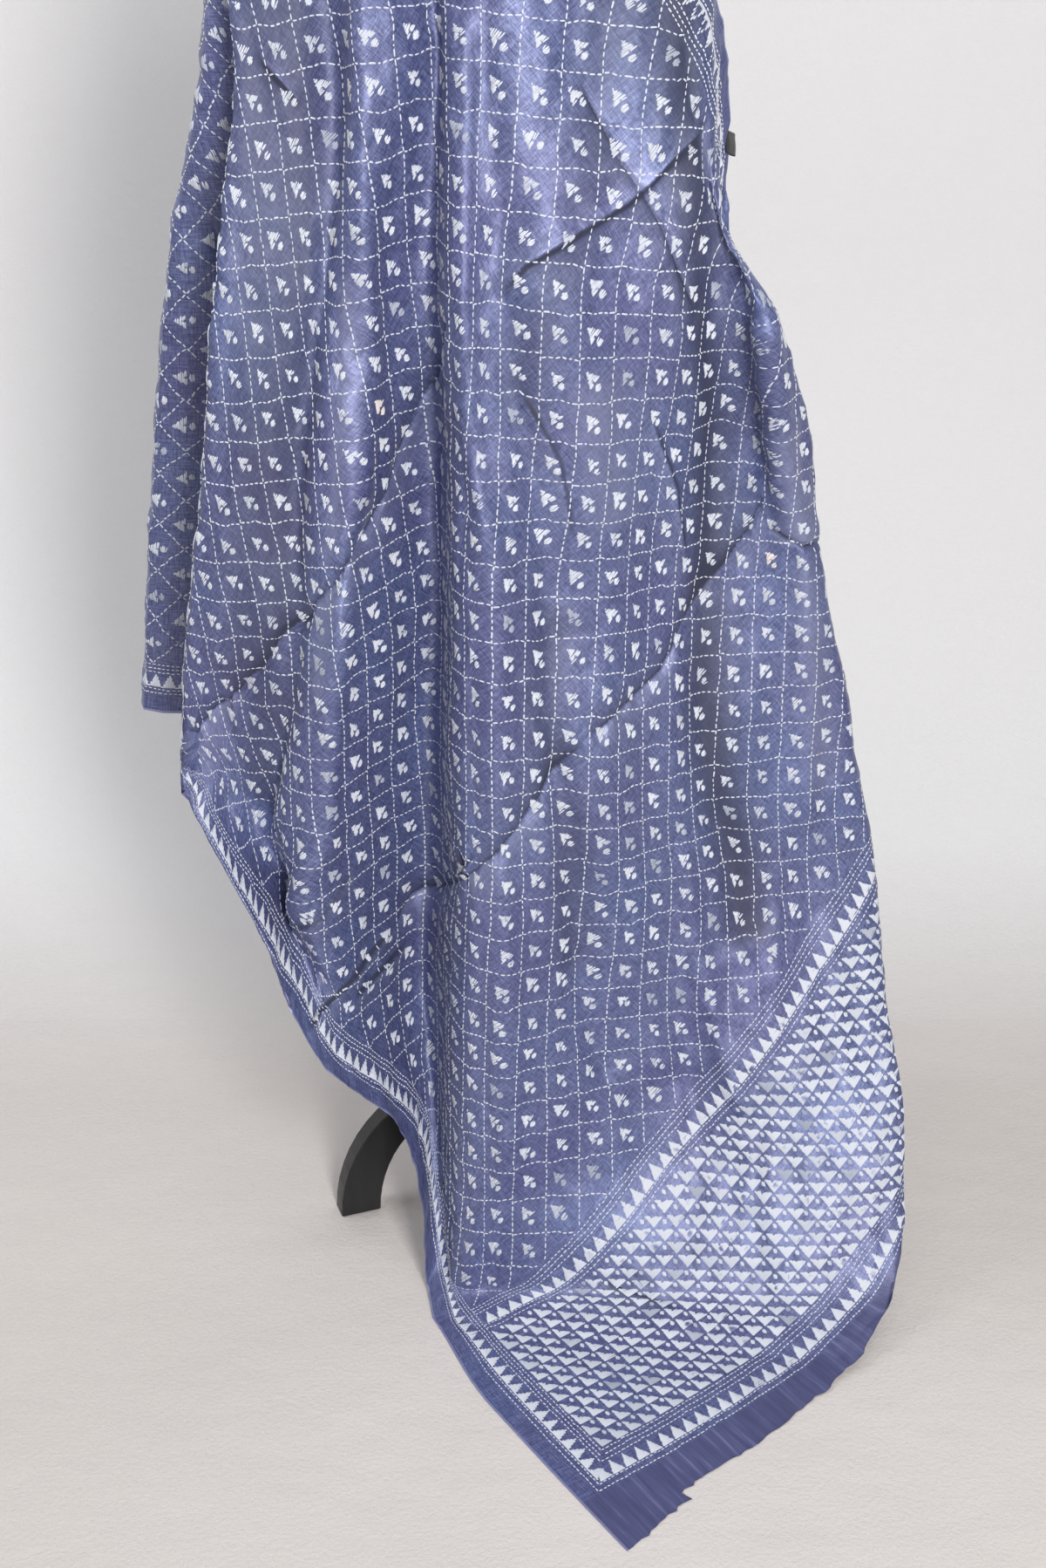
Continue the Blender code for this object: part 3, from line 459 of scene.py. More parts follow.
class Sheet:
    """The draped sheet as rows of points, with a way to find any flat place on it."""

    def __init__(self):
        low, high = build_rows()
        self.split = len(low)
        self.p, self.q = (np.array([row[i] for row in low + high]) for i in range(2))
        self.t, self.s = (np.array([row[i] for row in high]) for i in (2, 3))
        self.front = np.array([row[2] for row in low] + [row[4][:FRONT_COUNT] for row in high])
        self.back = np.array([row[4][FRONT_COUNT - 1:] for row in high])
        self.keep_above_floor()
        for grid, normal, place in zip((self.front, self.back), self.normals(), self.flat()):
            grid += normal * relief(*place)[..., None]
        self.keep_above_floor()
        self.front_normal, self.back_normal = self.normals()

    def keep_above_floor(self):
        for grid in (self.front, self.back):
            grid[..., 2] = np.maximum(grid[..., 2], FLOOR_Z)

    def flat(self):
        """s and t of every point, front and back."""
        return (on_bias(self.p[:, None], self.q),
                (self.s, np.repeat(self.t[:, None], self.s.shape[1], axis=1)))

    def normals(self):
        """Outward normals, from one grid that runs over both the front and the back."""
        found = grid_normals(np.concatenate([self.front[self.split:], self.back[:, 1:]], axis=1))
        front = grid_normals(self.front)
        front[self.split + 1:] = found[1:, :FRONT_COUNT]
        return front, found[:, FRONT_COUNT - 1:]

    def place(self, s, t, height):
        """Points at flat places s, t, raised from the sheet by height."""
        s, t, height = (np.asarray(a, float).ravel() for a in (s, t, height))
        p, q = on_bias(s, t)
        behind = is_behind(s, t)
        out = np.empty((len(s), 3))
        for where, key, along, rows, cols, grid, normal in (
                (~behind, p, q, self.p, self.q, self.front, self.front_normal),
                (behind, t, s, self.t, self.s, self.back, self.back_normal)):
            if where.any():
                found = look_up(key[where], along[where], rows, cols, np.concatenate([grid, normal], 2))
                unit = found[:, 3:] / np.linalg.norm(found[:, 3:], axis=1, keepdims=True)
                raised = height[where] + crisp(s[where], t[where])
                out[where] = found[:, :3] + unit * raised[:, None]
        out[:, 2] = np.maximum(out[:, 2], FLOOR_Z + height)
        return out


def is_behind(s, t):
    """Whether a flat place lies past the left pleat."""
    return s > ROOT2 * pleat_p(t) - t


def look_up(key, along, rows, cols, grid):
    """Values of the grid at key between rows, and at along within each row."""
    row = np.clip(np.searchsorted(rows, key, side="right") - 1, 0, len(rows) - 2)
    share = np.clip((key - rows[row]) / (rows[row + 1] - rows[row]), 0, 1)
    out = np.empty((len(key), grid.shape[2]))
    order = np.argsort(row, kind="stable")
    starts = np.searchsorted(row[order], np.arange(len(rows)))
    for i in range(len(rows) - 1):
        which = order[starts[i]:starts[i + 1]]
        if not len(which):
            continue
        near = row_at(along[which], cols[i], grid[i])
        far = row_at(along[which], cols[i + 1], grid[i + 1])
        f = share[which, None]
        out[which] = near * (1 - f) + far * f
    return out


def row_at(along, cols, values):
    at = np.interp(along, cols, np.arange(len(cols)))
    i = np.clip(at.astype(int), 0, len(cols) - 2)
    f = (at - i)[:, None]
    return values[i] * (1 - f) + values[i + 1] * f


def grid_normals(grid):
    """Unit normals of a grid whose rows go up and whose columns go from right to left in front."""
    normal = np.cross(np.gradient(grid, axis=1), np.gradient(grid, axis=0))
    return -normal / np.maximum(np.linalg.norm(normal, axis=2, keepdims=True), 1e-12)


# ---------------------------------------------------------------- creases and ripples

SMALL_CREASES = 190
CREASE_FADE = 0.03  # length over which a crease dies away at each end
CREASE_REACH = 0.14  # no small crease reaches further from its start than this


def soft_noise(s, t, scale, seed, waves=14, stretch=(1.0, 1.0), turn=0.0):
    """Smooth uneven noise of about the given wavelength, from seeded waves."""
    rng = np.random.default_rng(seed)
    out = np.zeros(np.shape(s))
    c, d = math.cos(turn), math.sin(turn)
    a, b = (c * s + d * t) / stretch[0], (c * t - d * s) / stretch[1]
    for _ in range(waves):
        way = rng.uniform(0, 2 * math.pi)
        size = 2 * math.pi / scale * rng.uniform(0.6, 1.5)
        out += np.cos(size * (math.cos(way) * a + math.sin(way) * b) + rng.uniform(0, 2 * math.pi))
    return out / math.sqrt(waves)


def from_line(s, t, points):
    """Distance to a line of points given as cells and bias height, signed with above positive, and
    how near the ends it is, 0 at an end and 1 well inside."""
    p, q = on_bias(s, t)
    nodes = np.array([(at_p, CENTRE_Q - CELL * cells) for cells, at_p in points])
    steps = np.linalg.norm(np.diff(nodes, axis=0), axis=1)
    total = steps.sum()
    best, side, along = (np.full(np.shape(s), value) for value in (9.0, 1.0, 0.0))
    run = 0.0
    for (p0, q0), (p1, q1), length in zip(nodes[:-1], nodes[1:], steps):
        f = np.clip(((p - p0) * (p1 - p0) + (q - q0) * (q1 - q0)) / length ** 2, 0, 1)
        gap = np.hypot(p - p0 - f * (p1 - p0), q - q0 - f * (q1 - q0))
        near = gap < best
        turn = (p - p0) * (q1 - q0) - (q - q0) * (p1 - p0)
        best = np.where(near, gap, best)
        side = np.where(near, np.sign(turn), side)
        along = np.where(near, run + f * length, along)
        run += length
    fade = np.clip(np.minimum(along, total - along) / CREASE_FADE, 0, 1)
    return best * side, fade * fade * (3 - 2 * fade)


def crease(s, t, line):
    """One crease: sharp at its middle, and dying away at its ends."""
    out, upper, lower = line[:3]
    gap, inside = from_line(s, t, line[3:])
    width = np.where(gap > 0, upper, lower)
    return out * inside * np.exp(-np.abs(gap) / width)


def flute(s, t, line):
    """A soft ridge along a line. The same shape serves as a broad band of painted shade or painted
    highlight.
    """
    gap, inside = from_line(s, t, line[2:])
    return line[0] * inside * np.exp(-(gap / line[1]) ** 2)


def relief(s, t):
    """How far the sheet stands out from its main folds, at each flat place."""
    h = 0.0011 * soft_noise(s, t, 0.060, 3, stretch=(2.4, 0.7), turn=math.pi / 4)
    h += 0.0006 * soft_noise(s, t, 0.030, 4, stretch=(1.7, 0.8), turn=math.pi / 4 + 0.25)
    h += 0.00035 * soft_noise(s, t, 0.017, 5)
    rng = np.random.default_rng(11)
    for _ in range(SMALL_CREASES):
        p, q = rng.uniform(0.1, 1.5), rng.uniform(-0.55, 0.6)
        way = rng.choice([-0.9, -0.6, 0.5, 0.8, 1.3, 1.6, 1.6]) + rng.normal(0, 0.18)
        reach = rng.uniform(0.03, 0.09)
        out = rng.choice([-1, 1]) * rng.uniform(0.0006, 0.0018)
        k = (CENTRE_Q - q) / CELL
        end = (k + reach * math.cos(way) / CELL, p + reach * math.sin(way))
        near = np.abs((s + t) / ROOT2 - p) < CREASE_REACH
        if near.any():
            h[near] += crease(s[near], t[near], (out, *rng.uniform(0.003, 0.009, 2), (k, p), end))
    for line in FLUTES:
        h += flute(s, t, line)
    return h * shrink_on_floor(s, t)


def crisp(s, t):
    """The sharp creases, which the sheet's mesh is made finer for."""
    return sum(crease(s, t, line) for line in CREASES) * shrink_on_floor(s, t)


def painted_crease_shade(s, t, line):
    """Painted shade on one side of a crease and painted highlight on the other, changing at its middle,
    with a thin painted shadow line at or just below it.
    """
    gap, inside = from_line(s, t, line[3:])
    out, upper, lower = line[:3]
    if out > 0 and upper < lower:
        gap = -gap
    if out < 0:
        painted_shading = np.where(gap > 0, 0.50 * np.exp(-gap / 0.011), -0.42 * np.exp(gap / 0.015))
        painted_shading += 0.55 * np.exp(-(gap / 0.0016) ** 2)
    else:
        painted_shading = np.where(gap > 0, -0.30 * np.exp(-gap / 0.010), 0.35 * np.exp(gap / 0.008))
        painted_shading += 0.65 * np.exp(-((gap + 0.0024) / 0.0022) ** 2)
    return painted_shading * inside * min(1.0, abs(out) / 0.004)


def painted_shade_and_highlight(s, t):
    """Painted shade (to 1) or painted highlight (to -1) of the silk at each flat place."""
    painted_shading = sum(painted_crease_shade(s, t, line) for line in CREASES)
    for line in PAINTED_SHADE_BANDS:
        painted_shading += flute(s, t, line)
    return np.clip(painted_shading, -0.8, 0.9)


def shrink_on_floor(s, t):
    """The corner lies flat on the floor, with only a little relief."""
    f = np.clip(((s + t) / ROOT2 - 0.14) / 0.14, 0, 1)
    return 0.25 + 0.75 * f * f * (3 - 2 * f)


# ---------------------------------------------------------------- stitches

LATTICE_THREAD = 0.00125
BORDER_THREAD = 0.0011
SATIN_THREAD = 0.00112
PANEL_THREAD = 0.0014
TOOTH_THREAD = 0.0017
THREAD_HEIGHT = 0.00045
REVERSE_BAR = (0.00115, 0.0005)  # width and height of what shows on the reverse
REVERSE_END = (0.00125, 0.0005)
SUNK = -0.15  # how far a thread's points go into the cloth, in thread heights
CLEAR = 0.00012  # keeps the threads' edges out of the silk
ROW_P = 0.262  # bias height of the lattice's first row
COLUMNS = range(-62, 30)  # enough squares to cover the whole field
ROWS = range(-2, 80)
LINE_STEP = 0.05  # the border lines are sewn in lengths of this
FILL = 0.74  # share of its pitch that a running stitch covers
FRAYED_THREADS = 700
TOPS = ((0, 3, 2), (0, 2, 1), (3, 6, 5), (3, 5, 2), (2, 5, 4), (2, 4, 1), (6, 7, 5), (5, 7, 4))


class Stitches:
    """Many small stitches joined in one mesh. Each is a low ridge of thread, pointed at both ends."""

    def __init__(self):
        self.parts = []

    def add(self, *measures, bow=0.0, tint=0.5):
        """Stitches from s0, t0 to s1, t1, of a width and height, which may bend sideways by bow."""
        parts = np.broadcast_arrays(*(np.asarray(a, float) for a in measures + (bow, tint)))
        self.parts.append(np.stack([a.ravel() for a in parts], axis=1))

    def rows(self):
        return np.vstack(self.parts)


def heading(s0, t0, s1, t1):
    """The length of each stitch and its direction."""
    length = np.maximum(np.hypot(s1 - s0, t1 - t0), 1e-6)
    return length, (s1 - s0) / length, (t1 - t0) / length


def stitch_mesh(name, rows, sheet, material, side=1):
    """The mesh of these stitches, 8 triangles each, on the sheet's face, or on its reverse with side -1."""
    s0, t0, s1, t1, width, height, bow, tint = rows.T
    length, ds, dt = heading(s0, t0, s1, t1)
    tip = np.minimum(0.22, 0.0010 / length)
    corners = []
    for along, across, up in ((0, 0, SUNK), (tip, 1, 0), (tip, 0, 1), (tip, -1, 0),
                              (1 - tip, 1, 0), (1 - tip, 0, 1), (1 - tip, -1, 0), (1, 0, SUNK)):
        aside = across * width / 2 + bow * 4 * along * (1 - along)
        corners.append((s0 + (s1 - s0) * along + dt * aside, t0 + (t1 - t0) * along - ds * aside,
                        side * (height * up + CLEAR)))
    s, t, h = np.array(corners).transpose(1, 2, 0)
    faces = (np.arange(len(rows))[:, None, None] * 8 + np.array(TOPS)).reshape(-1, 3)[:, ::side]
    mesh = new_mesh(name, sheet.place(s, t, h), faces, np.stack([s.ravel(), t.ravel()], axis=1))
    set_tone(mesh, "tint", np.repeat(tint, 8))
    return finish_piece(mesh, material)


def new_mesh(name, points, faces, uv=None):
    """A smooth mesh. The uv is each point's flat place."""
    mesh = bpy.data.meshes.new(name)
    mesh.vertices.add(len(points))
    mesh.vertices.foreach_set("co", np.asarray(points, np.float32).ravel())
    mesh.loops.add(faces.size)
    mesh.loops.foreach_set("vertex_index", faces.astype(np.int32).ravel())
    mesh.polygons.add(len(faces))
    mesh.polygons.foreach_set("loop_start", np.arange(0, faces.size, faces.shape[1], dtype=np.int32))
    mesh.update(calc_edges=True)
    mesh.shade_smooth()
    if uv is not None:
        layer = mesh.uv_layers.new(name="UVMap")
        layer.data.foreach_set("uv", uv[faces.ravel()].astype(np.float32).ravel())
    return mesh


def set_tone(mesh, name, values):
    mesh.attributes.new(name, "FLOAT", "POINT").data.foreach_set("value", values.astype(np.float32))


def linked(name, data):
    """A new object in the scene."""
    obj = bpy.data.objects.new(name, data)
    bpy.context.scene.collection.objects.link(obj)
    return obj


def finish_piece(mesh, material):
    obj = linked(mesh.name, mesh)
    mesh.materials.append(material)
    obj.location = (-MIDDLE_X, -MIDDLE_Y, 0.0)
    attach(obj, "root")
    return obj


def dashes(st, start, end, pitch, width, wander, rng, ends=(0, 0)):
    """A running stitch from one flat place to another, uneven as hand work is."""
    (s0, t0), (s1, t1) = start, end
    length = math.hypot(s1 - s0, t1 - t0)
    count = max(1, round(length / pitch))
    cuts = (np.arange(count + 1) + np.concatenate([[0], rng.normal(0, 0.10, count - 1), [0]])) / count
    ds, dt = (s1 - s0) / length, (t1 - t0) / length
    drift = np.interp(cuts, [0, 0.5, 1], [ends[0], rng.normal(0, wander), ends[1]])
    drift[1:-1] += rng.normal(0, wander * 0.45, count - 1)
    gap = (1 - FILL) * rng.uniform(0.6, 1.4, count) / count / 2
    da, db = drift[:-1], drift[1:]
    a, b = (cuts[:-1] + gap) * length, (cuts[1:] - gap) * length
    st.add(s0 + ds * a + dt * da, t0 + dt * a - ds * da, s0 + ds * b + dt * db, t0 + dt * b - ds * db,
           width * rng.uniform(0.85, 1.15, count), width * 0.45,
           bow=rng.normal(0, 0.00022, count) + (rng.random(count) < 0.05) * 0.0011)


def inside_field(s, t, margin=0.0):
    low, side = FIELD
    return ((s > low + margin) & (s < CLOTH_LENGTH - low - margin)
            & (t > side + margin) & (t < CLOTH_WIDTH - side - margin))


def squares(share, margin):
    """p and q at this share of each lattice square, where that lies inside the field by a margin."""
    for k in COLUMNS:
        for n in ROWS:
            p, q = ROW_P + CELL * (n + share), CENTRE_Q - CELL * (k + share)
            if inside_field(*on_bias(p, q), margin):
                yield p, q


def lattice_rows():
    """The lattice: upright lines run on, and the level ones step a little at each column."""
    rng = np.random.default_rng(21)
    st = Stitches()
    for p, q in squares(0, -LATTICE_SPARE):
        rng.normal(0, 0.0006, 2)  # two draws that nothing uses, kept for the order of the others
        dashes(st, on_bias(p, q), on_bias(p + CELL, q), LATTICE_DASH, LATTICE_THREAD, 0.0004, rng)
        low, high = rng.normal(0, 0.0009), rng.normal(0, 0.0009)
        if rng.random() < 0.12:
            low += rng.choice([-1, 1]) * 0.0018
        end = (p + q - CELL) / ROOT2, (p - q + CELL) / ROOT2
        dashes(st, on_bias(p, q), end, LATTICE_DASH, LATTICE_THREAD, 0.0011, rng, (low, high))
    rows = st.rows()
    return rows[inside_field((rows[:, 0] + rows[:, 2]) / 2, (rows[:, 1] + rows[:, 3]) / 2)]


def motif_rows():
    """One motif in each square: a notched satin triangle and a small oval beyond its base."""
    rng = np.random.default_rng(22)
    st = Stitches()
    for p, q in squares(0.5, MOTIF_CLEAR):
        motif(st, *on_bias(p, q), rng)
    return st.rows()


def motif(st, s, t, rng):
    """Satin threads run across the cloth. The triangle's corner points to the far end."""
    size = rng.normal(1.0, 0.07)
    turn = rng.normal(0, 0.09) + (rng.random() < 0.008) * 1.5
    faded = rng.random() < 0.06
    tint = 0.25 if faded else (0.9 if rng.random() < 0.003 else 0.5 + rng.normal(0, 0.06))
    tall, wide = MOTIF_TALL * size, MOTIF_WIDE * size * rng.uniform(0.92, 1.06)
    count = int(round(tall / SATIN_THREAD))
    level = (np.arange(count) + 0.7) / count
    lean = rng.normal(0, 0.07)
    half = wide / 2 * np.minimum(0.06 + 0.98 * level, 1)
    left = -half + rng.normal(0, 0.00045, count)
    right = half + rng.normal(0, 0.00045, count)
    start = rng.uniform(0.70, 0.84)
    threads = []
    for down, at, first, last in zip(tall * level, level, left, right):
        slip = lean * down
        if at > start:
            nick = 0.0042 * (at - start) - 0.0004 + rng.normal(0, 0.00015)
            shift = rng.normal(0, 0.0004)
            threads += [(down, first + slip, slip + shift - nick), (down, slip + shift + nick, last + slip)]
        else:
            threads.append((down, first + slip, last + slip))
    oval = tall + 0.0030 * size + rng.normal(0, 0.0004)
    sway = rng.normal(0, 0.0006)
    for i, reach in enumerate(OVAL):
        reach = reach * size + rng.normal(0, 0.0003)
        threads.append((oval + OVAL_PITCH * i, sway - reach, sway + reach))
    v, a, b = np.array(threads).T
    v = v - tall
    cut = 0.0005 * rng.normal(0, 1, len(a))
    c, d = math.cos(turn), math.sin(turn)
    s0, t0 = -v * c - a * d, -v * d + a * c
    s1, t1 = -(v + cut) * c - b * d, -(v + cut) * d + b * c
    s = s + rng.normal(0, 0.0009)
    t = t - 0.0012 + rng.normal(0, 0.0010)
    st.add(s + s0, t + t0, s + s1, t + t1, SATIN_THREAD, 0.00042 + 0.040 * (b - a), tint=tint - 0.04)


def bars_behind(rows):
    """A running stitch on the reverse: a short bar over each gap."""
    st = Stitches()
    s0, t0, s1, t1 = rows.T[:4]
    _, ds, dt = heading(s0, t0, s1, t1)
    st.add(s1 - 0.0003 * ds, t1 - 0.0003 * dt, s1 + 0.0019 * ds, t1 + 0.0019 * dt, *REVERSE_BAR)
    return st.rows()


def ends_behind(rows, step):
    """Satin threads on the reverse: only their ends come through, here of one thread in each step."""
    st = Stitches()
    s0, t0, s1, t1 = rows[::step].T[:4]
    st.add(s0, t0, s0 + 0.25 * (s1 - s0), t0 + 0.25 * (t1 - t0), *REVERSE_END)
    st.add(s1 + 0.25 * (s0 - s1), t1 + 0.25 * (t0 - t1), s1, t1, *REVERSE_END)
    return st.rows()


def mirrored(rows, axis):
    """The rows as they are, and again at the far end, or with axis 1 along the other side."""
    far = rows.copy()
    far[:, axis:4:2] = (CLOTH_LENGTH, CLOTH_WIDTH)[axis] - far[:, axis:4:2]
    return np.vstack([rows, far])


def panel_rows():
    """The dense end panel: small corner triangles and round dots, set square to the edges."""
    rng = np.random.default_rng(23)
    st = Stitches()
    low, high = PANEL
    side = FIELD[1] + 0.001
    cell_s, cell_t = (high - low) / PANEL_CELLS[0], (CLOTH_WIDTH - 2 * side) / PANEL_CELLS[1]
    for i in range(PANEL_CELLS[0]):
        for j in range(PANEL_CELLS[1]):
            s = low + cell_s * i + rng.normal(0, 0.0004) + 0.0008
            t = side + cell_t * j + rng.normal(0, 0.0004) + 0.0008
            corner_and_dot(st, s, t, cell_s * rng.uniform(0.83, 0.93), cell_s, rng)
    return mirrored(st.rows(), 0)


def corner_and_dot(st, s, t, size, cell, rng):
    """A filled corner, blunt at its two ends, with a nick in its long side and a dot across from that."""
    tint = 0.44 + rng.normal(0, 0.05) - (rng.random() < 0.05) * 0.2
    count = 12
    level = 0.95 * (np.arange(count) + 0.5) / count
    skew = rng.normal(0, 0.05)
    reach = size * np.minimum((1.06 - level) * (1 + skew), 0.94) + rng.normal(0, 0.00025, count)
    nick = rng.uniform(0.0018, 0.0032) * np.maximum(1 - np.abs(level - 0.53) / 0.12, 0)
    start = rng.normal(0, 0.0002, count)
    at = s + size * level
    end = at + rng.normal(0, 0.0002, count)
    st.add(at, t + start, end, t + np.maximum(reach - nick, 0.0008), PANEL_THREAD, THREAD_HEIGHT, tint=tint)
    across = cell * rng.uniform(0.73, 0.78)
    for shift, half in DOT:
        half = half * rng.uniform(0.85, 1.1)
        at = s + across + shift
        st.add(at, t + across - half, at, t + across + half, PANEL_THREAD, THREAD_HEIGHT, tint=tint)


def border_line(st, at, margin, size, across, rng):
    """A running line, as far from its two ends as the margin, along the cloth or across it."""
    place = margin
    while place < size - margin - 0.01:
        step = min(LINE_STEP, size - margin - place)
        ends = ((place, at), (place + step, at))
        if across:
            ends = ((at, place), (at, place + step))
        dashes(st, *ends, LINE_DASH, BORDER_THREAD, 0.0003, rng)
        place += step


def border_rows():
    """Running lines and rows of triangles along all four edges and across each end."""
    rng = np.random.default_rng(24)
    lines, sides, teeth, side_teeth = (Stitches() for _ in range(4))
    for at, margin in zip(END_LINES + BAND_LINES, SIDE_LINES[:3] + SIDE_LINES[4:] * 7):
        border_line(lines, at, margin, CLOTH_WIDTH, True, rng)
    for at, margin in zip(SIDE_LINES, END_LINES):
        border_line(sides, at, margin, CLOTH_LENGTH, False, rng)
    for j in range(int((CLOTH_WIDTH - 2 * TOOTH_MARGIN) / TOOTH)):
        t = TOOTH_MARGIN + TOOTH * (j + 0.5)
        tooth(teeth, TOOTH_BASES[0], t, TOOTH_TALL, True, rng)
        if SIDE_LINES[-1] < t < CLOTH_WIDTH - SIDE_LINES[-1]:
            tooth(teeth, TOOTH_BASES[1], t, TOOTH_TALL, True, rng)
    for j in range(int((CLOTH_LENGTH - 2 * SIDE_TOOTH_MARGIN) / TOOTH)):
        t = SIDE_TOOTH_MARGIN + TOOTH * (j + 0.5)
        tooth(side_teeth, SIDE_TOOTH_BASE, t, SIDE_TOOTH_TALL, False, rng)
    return np.vstack([mirrored(lines.rows(), 0), mirrored(sides.rows(), 1),
                      mirrored(teeth.rows(), 0), mirrored(side_teeth.rows(), 1)])


def tooth(st, base, middle, tall, across, rng):
    """A small satin triangle standing on a border line. Across an end it points along the cloth."""
    tint = 0.5 + rng.normal(0, 0.05)
    if across:
        count = 10
        level = (np.arange(count) + 0.3) / count
        half = 0.0068 * (1 - level ** 1.15) + rng.normal(0, 0.0003, count)
        at = base + tall * level
        ends = at, middle - half, at + rng.normal(0, 0.0002, count), middle + half
    else:
        spans = np.linspace(-0.0062, 0.0062, 9)
        reach = tall * (1.02 - np.abs(spans / 0.0068) ** 1.15) + rng.normal(0, 0.0003, 9)
        at = middle + spans
        ends = at, base, at + rng.normal(0, 0.0002, 9), base + reach
    st.add(*ends, TOOTH_THREAD, THREAD_HEIGHT, tint=tint)


def frayed_rows():
    """Loose threads along the raw ends."""
    rng = np.random.default_rng(25)
    count = FRAYED_THREADS
    t = rng.uniform(0.03, 0.99, count)
    s = np.interp(t, WORN_AT, WORN) * WEAR + 0.001
    reach = rng.uniform(0.001, 0.0045, count)
    reach = reach + (rng.random(count) < 0.04) * rng.uniform(0.003, 0.010, count)
    st = Stitches()
    st.add(s, t, s - reach - 0.001, t + rng.normal(0, 0.0012, count), 0.00045, 0.0002,
           bow=rng.normal(0, 0.0005, count))
    rows = st.rows()
    rows[:, 2] = np.maximum(rows[:, 2], 0.0)
    return rows


# ---------------------------------------------------------------- materials

class Look:
    """A new material, with short ways to add nodes. A socket takes a value or another socket."""

    def __init__(self, name, coords):
        self.material = bpy.data.materials.new(name)
        self.material.use_nodes = True
        self.tree = self.material.node_tree
        self.shader = self.tree.nodes["Principled BSDF"]
        self.coords = self.node("TexCoord")[coords]

    def feed(self, node, sockets):
        for key, value in sockets.items():
            if isinstance(value, bpy.types.NodeSocket):
                self.tree.links.new(value, node.inputs[key])
            else:
                node.inputs[key].default_value = value

    def node(self, kind, sockets=(), **settings):
        made = self.tree.nodes.new("ShaderNode" + kind)
        for key, value in settings.items():
            setattr(made, key, value)
        self.feed(made, dict(sockets))
        return made.outputs

    def noise(self, stretch, detail, rough=0.5):
        place = self.node("Mapping", {"Vector": self.coords, "Scale": stretch})["Vector"]
        return self.node("TexNoise", {"Vector": place, "Scale": 1.0, "Detail": detail,
                                      "Roughness": rough})["Fac"]

    def ramp(self, value, *stops):
        made = self.tree.nodes.new("ShaderNodeValToRGB")
        elements = made.color_ramp.elements
        for i in (0, -1):
            elements[i].position, elements[i].color = stops[i][0], (*stops[i][1], 1)
        for at, colour in stops[1:-1]:
            elements.new(at).color = (*colour, 1)
        self.feed(made, {"Fac": value})
        return made.outputs["Color"]

    def mix(self, fac, a, b, blend="MIX"):
        sockets = {"Factor": fac, "A": a, "B": b}
        return self.node("Mix", sockets, data_type="RGBA", blend_type=blend)["Result"]

    def maths(self, operation, a, b):
        return self.node("Math", {0: a, 1: b}, operation=operation)["Value"]

    def clamped(self, value):
        return self.node("Clamp", {"Value": value})["Result"]

    def bump(self, height, strength, distance, onto=None):
        sockets = {"Strength": strength, "Distance": distance, "Height": height}
        if onto:
            sockets["Normal"] = onto
        return self.node("Bump", sockets)["Normal"]

    def near_edge(self, along, size, reach, sharp):
        """1 within reach of either end of the size, and 0 further in."""
        gap = self.maths("MINIMUM", along, self.maths("SUBTRACT", size, along))
        return self.clamped(self.maths("MULTIPLY", self.maths("SUBTRACT", reach, gap), sharp))

    def finished(self, sockets):
        self.feed(self.shader, sockets)
        return self.material


def silk_material():
    """Slubby silk: warp and weft of uneven colour, streaks on the plain ends, a pale selvedge cord, and
    painted shade and painted highlight along the creases and broad folds.
    """
    look = Look("kantha_silk", "UV")
    s, t, _ = look.node("SeparateXYZ", {"Vector": look.coords})
    warp, weft = look.noise((55, 900, 1), 4.0, 0.65), look.noise((900, 55, 1), 4.0, 0.65)
    weave = look.maths("ADD", look.maths("MULTIPLY", warp, 0.5), look.maths("MULTIPLY", weft, 0.5))
    base = look.ramp(weave, (0.40, (0.051, 0.063, 0.163)), (0.5, (0.099, 0.118, 0.262)),
                     (0.60, (0.182, 0.208, 0.395)))
    patchy = look.ramp(look.noise((7, 7, 1), 3.0), (0.35, (0.90, 0.84, 0.92)), (0.5, (1.0, 1.0, 1.0)),
                       (0.65, (0.98, 1.07, 1.08)))
    specks = look.ramp(look.noise((330, 330, 1), 4.0, 0.75), (0.36, (0.74, 0.72, 0.82)),
                       (0.5, (1.0, 1.0, 1.0)), (0.66, (1.34, 1.33, 1.24)))
    colour = look.mix(1.0, look.mix(1.0, base, patchy, "MULTIPLY"), specks, "MULTIPLY")
    worn = look.ramp(look.noise((9, 150, 1), 3.0, 0.6), (0.40, (0.066, 0.070, 0.175)),
                     (0.58, (0.095, 0.102, 0.235)), (0.74, (0.20, 0.21, 0.38)))
    colour = look.mix(look.near_edge(s, CLOTH_LENGTH, 0.066, 160.0), colour, worn)
    cord = look.near_edge(t, CLOTH_WIDTH, 0.0024, 2500.0)
    colour = look.mix(look.maths("MULTIPLY", cord, 0.55), colour, (0.36, 0.37, 0.60, 1.0))
    # Painted shade: the colour goes towards dark blue where 'folded' is above 0. Painted highlight: it goes
    # towards pale blue where 'folded' is below 0.
    painted_shading = look.node("Attribute", attribute_name="folded")["Fac"]
    colour = look.mix(look.clamped(look.maths("MULTIPLY", painted_shading, 1.30)), colour, (0.014, 0.018, 0.055, 1.0))
    colour = look.mix(look.clamped(look.maths("MULTIPLY", painted_shading, -1.0)), colour, (0.380, 0.410, 0.620, 1.0))
    # The painted shade also takes shine away and makes the silk rougher, and the painted highlight adds
    # metallic shine, a painted sheen.
    shine = look.clamped(look.maths("ADD", look.maths("MULTIPLY", painted_shading, -0.48), 0.30))
    rough = look.maths("ADD", look.maths("MULTIPLY", look.clamped(painted_shading), 0.36), 0.48)
    crumple = look.bump(look.noise((75, 75, 1), 5.0, 0.6), 0.45, 0.0022)
    return look.finished({"Base Color": colour, "Metallic": shine, "Roughness": rough,
                          "Specular IOR Level": 0.85, "Sheen Weight": 0.12, "Sheen Roughness": 0.35,
                          "Sheen Tint": (0.78, 0.80, 1.0, 1.0),
                          "Normal": look.bump(weave, 0.40, 0.0005, crumple)})


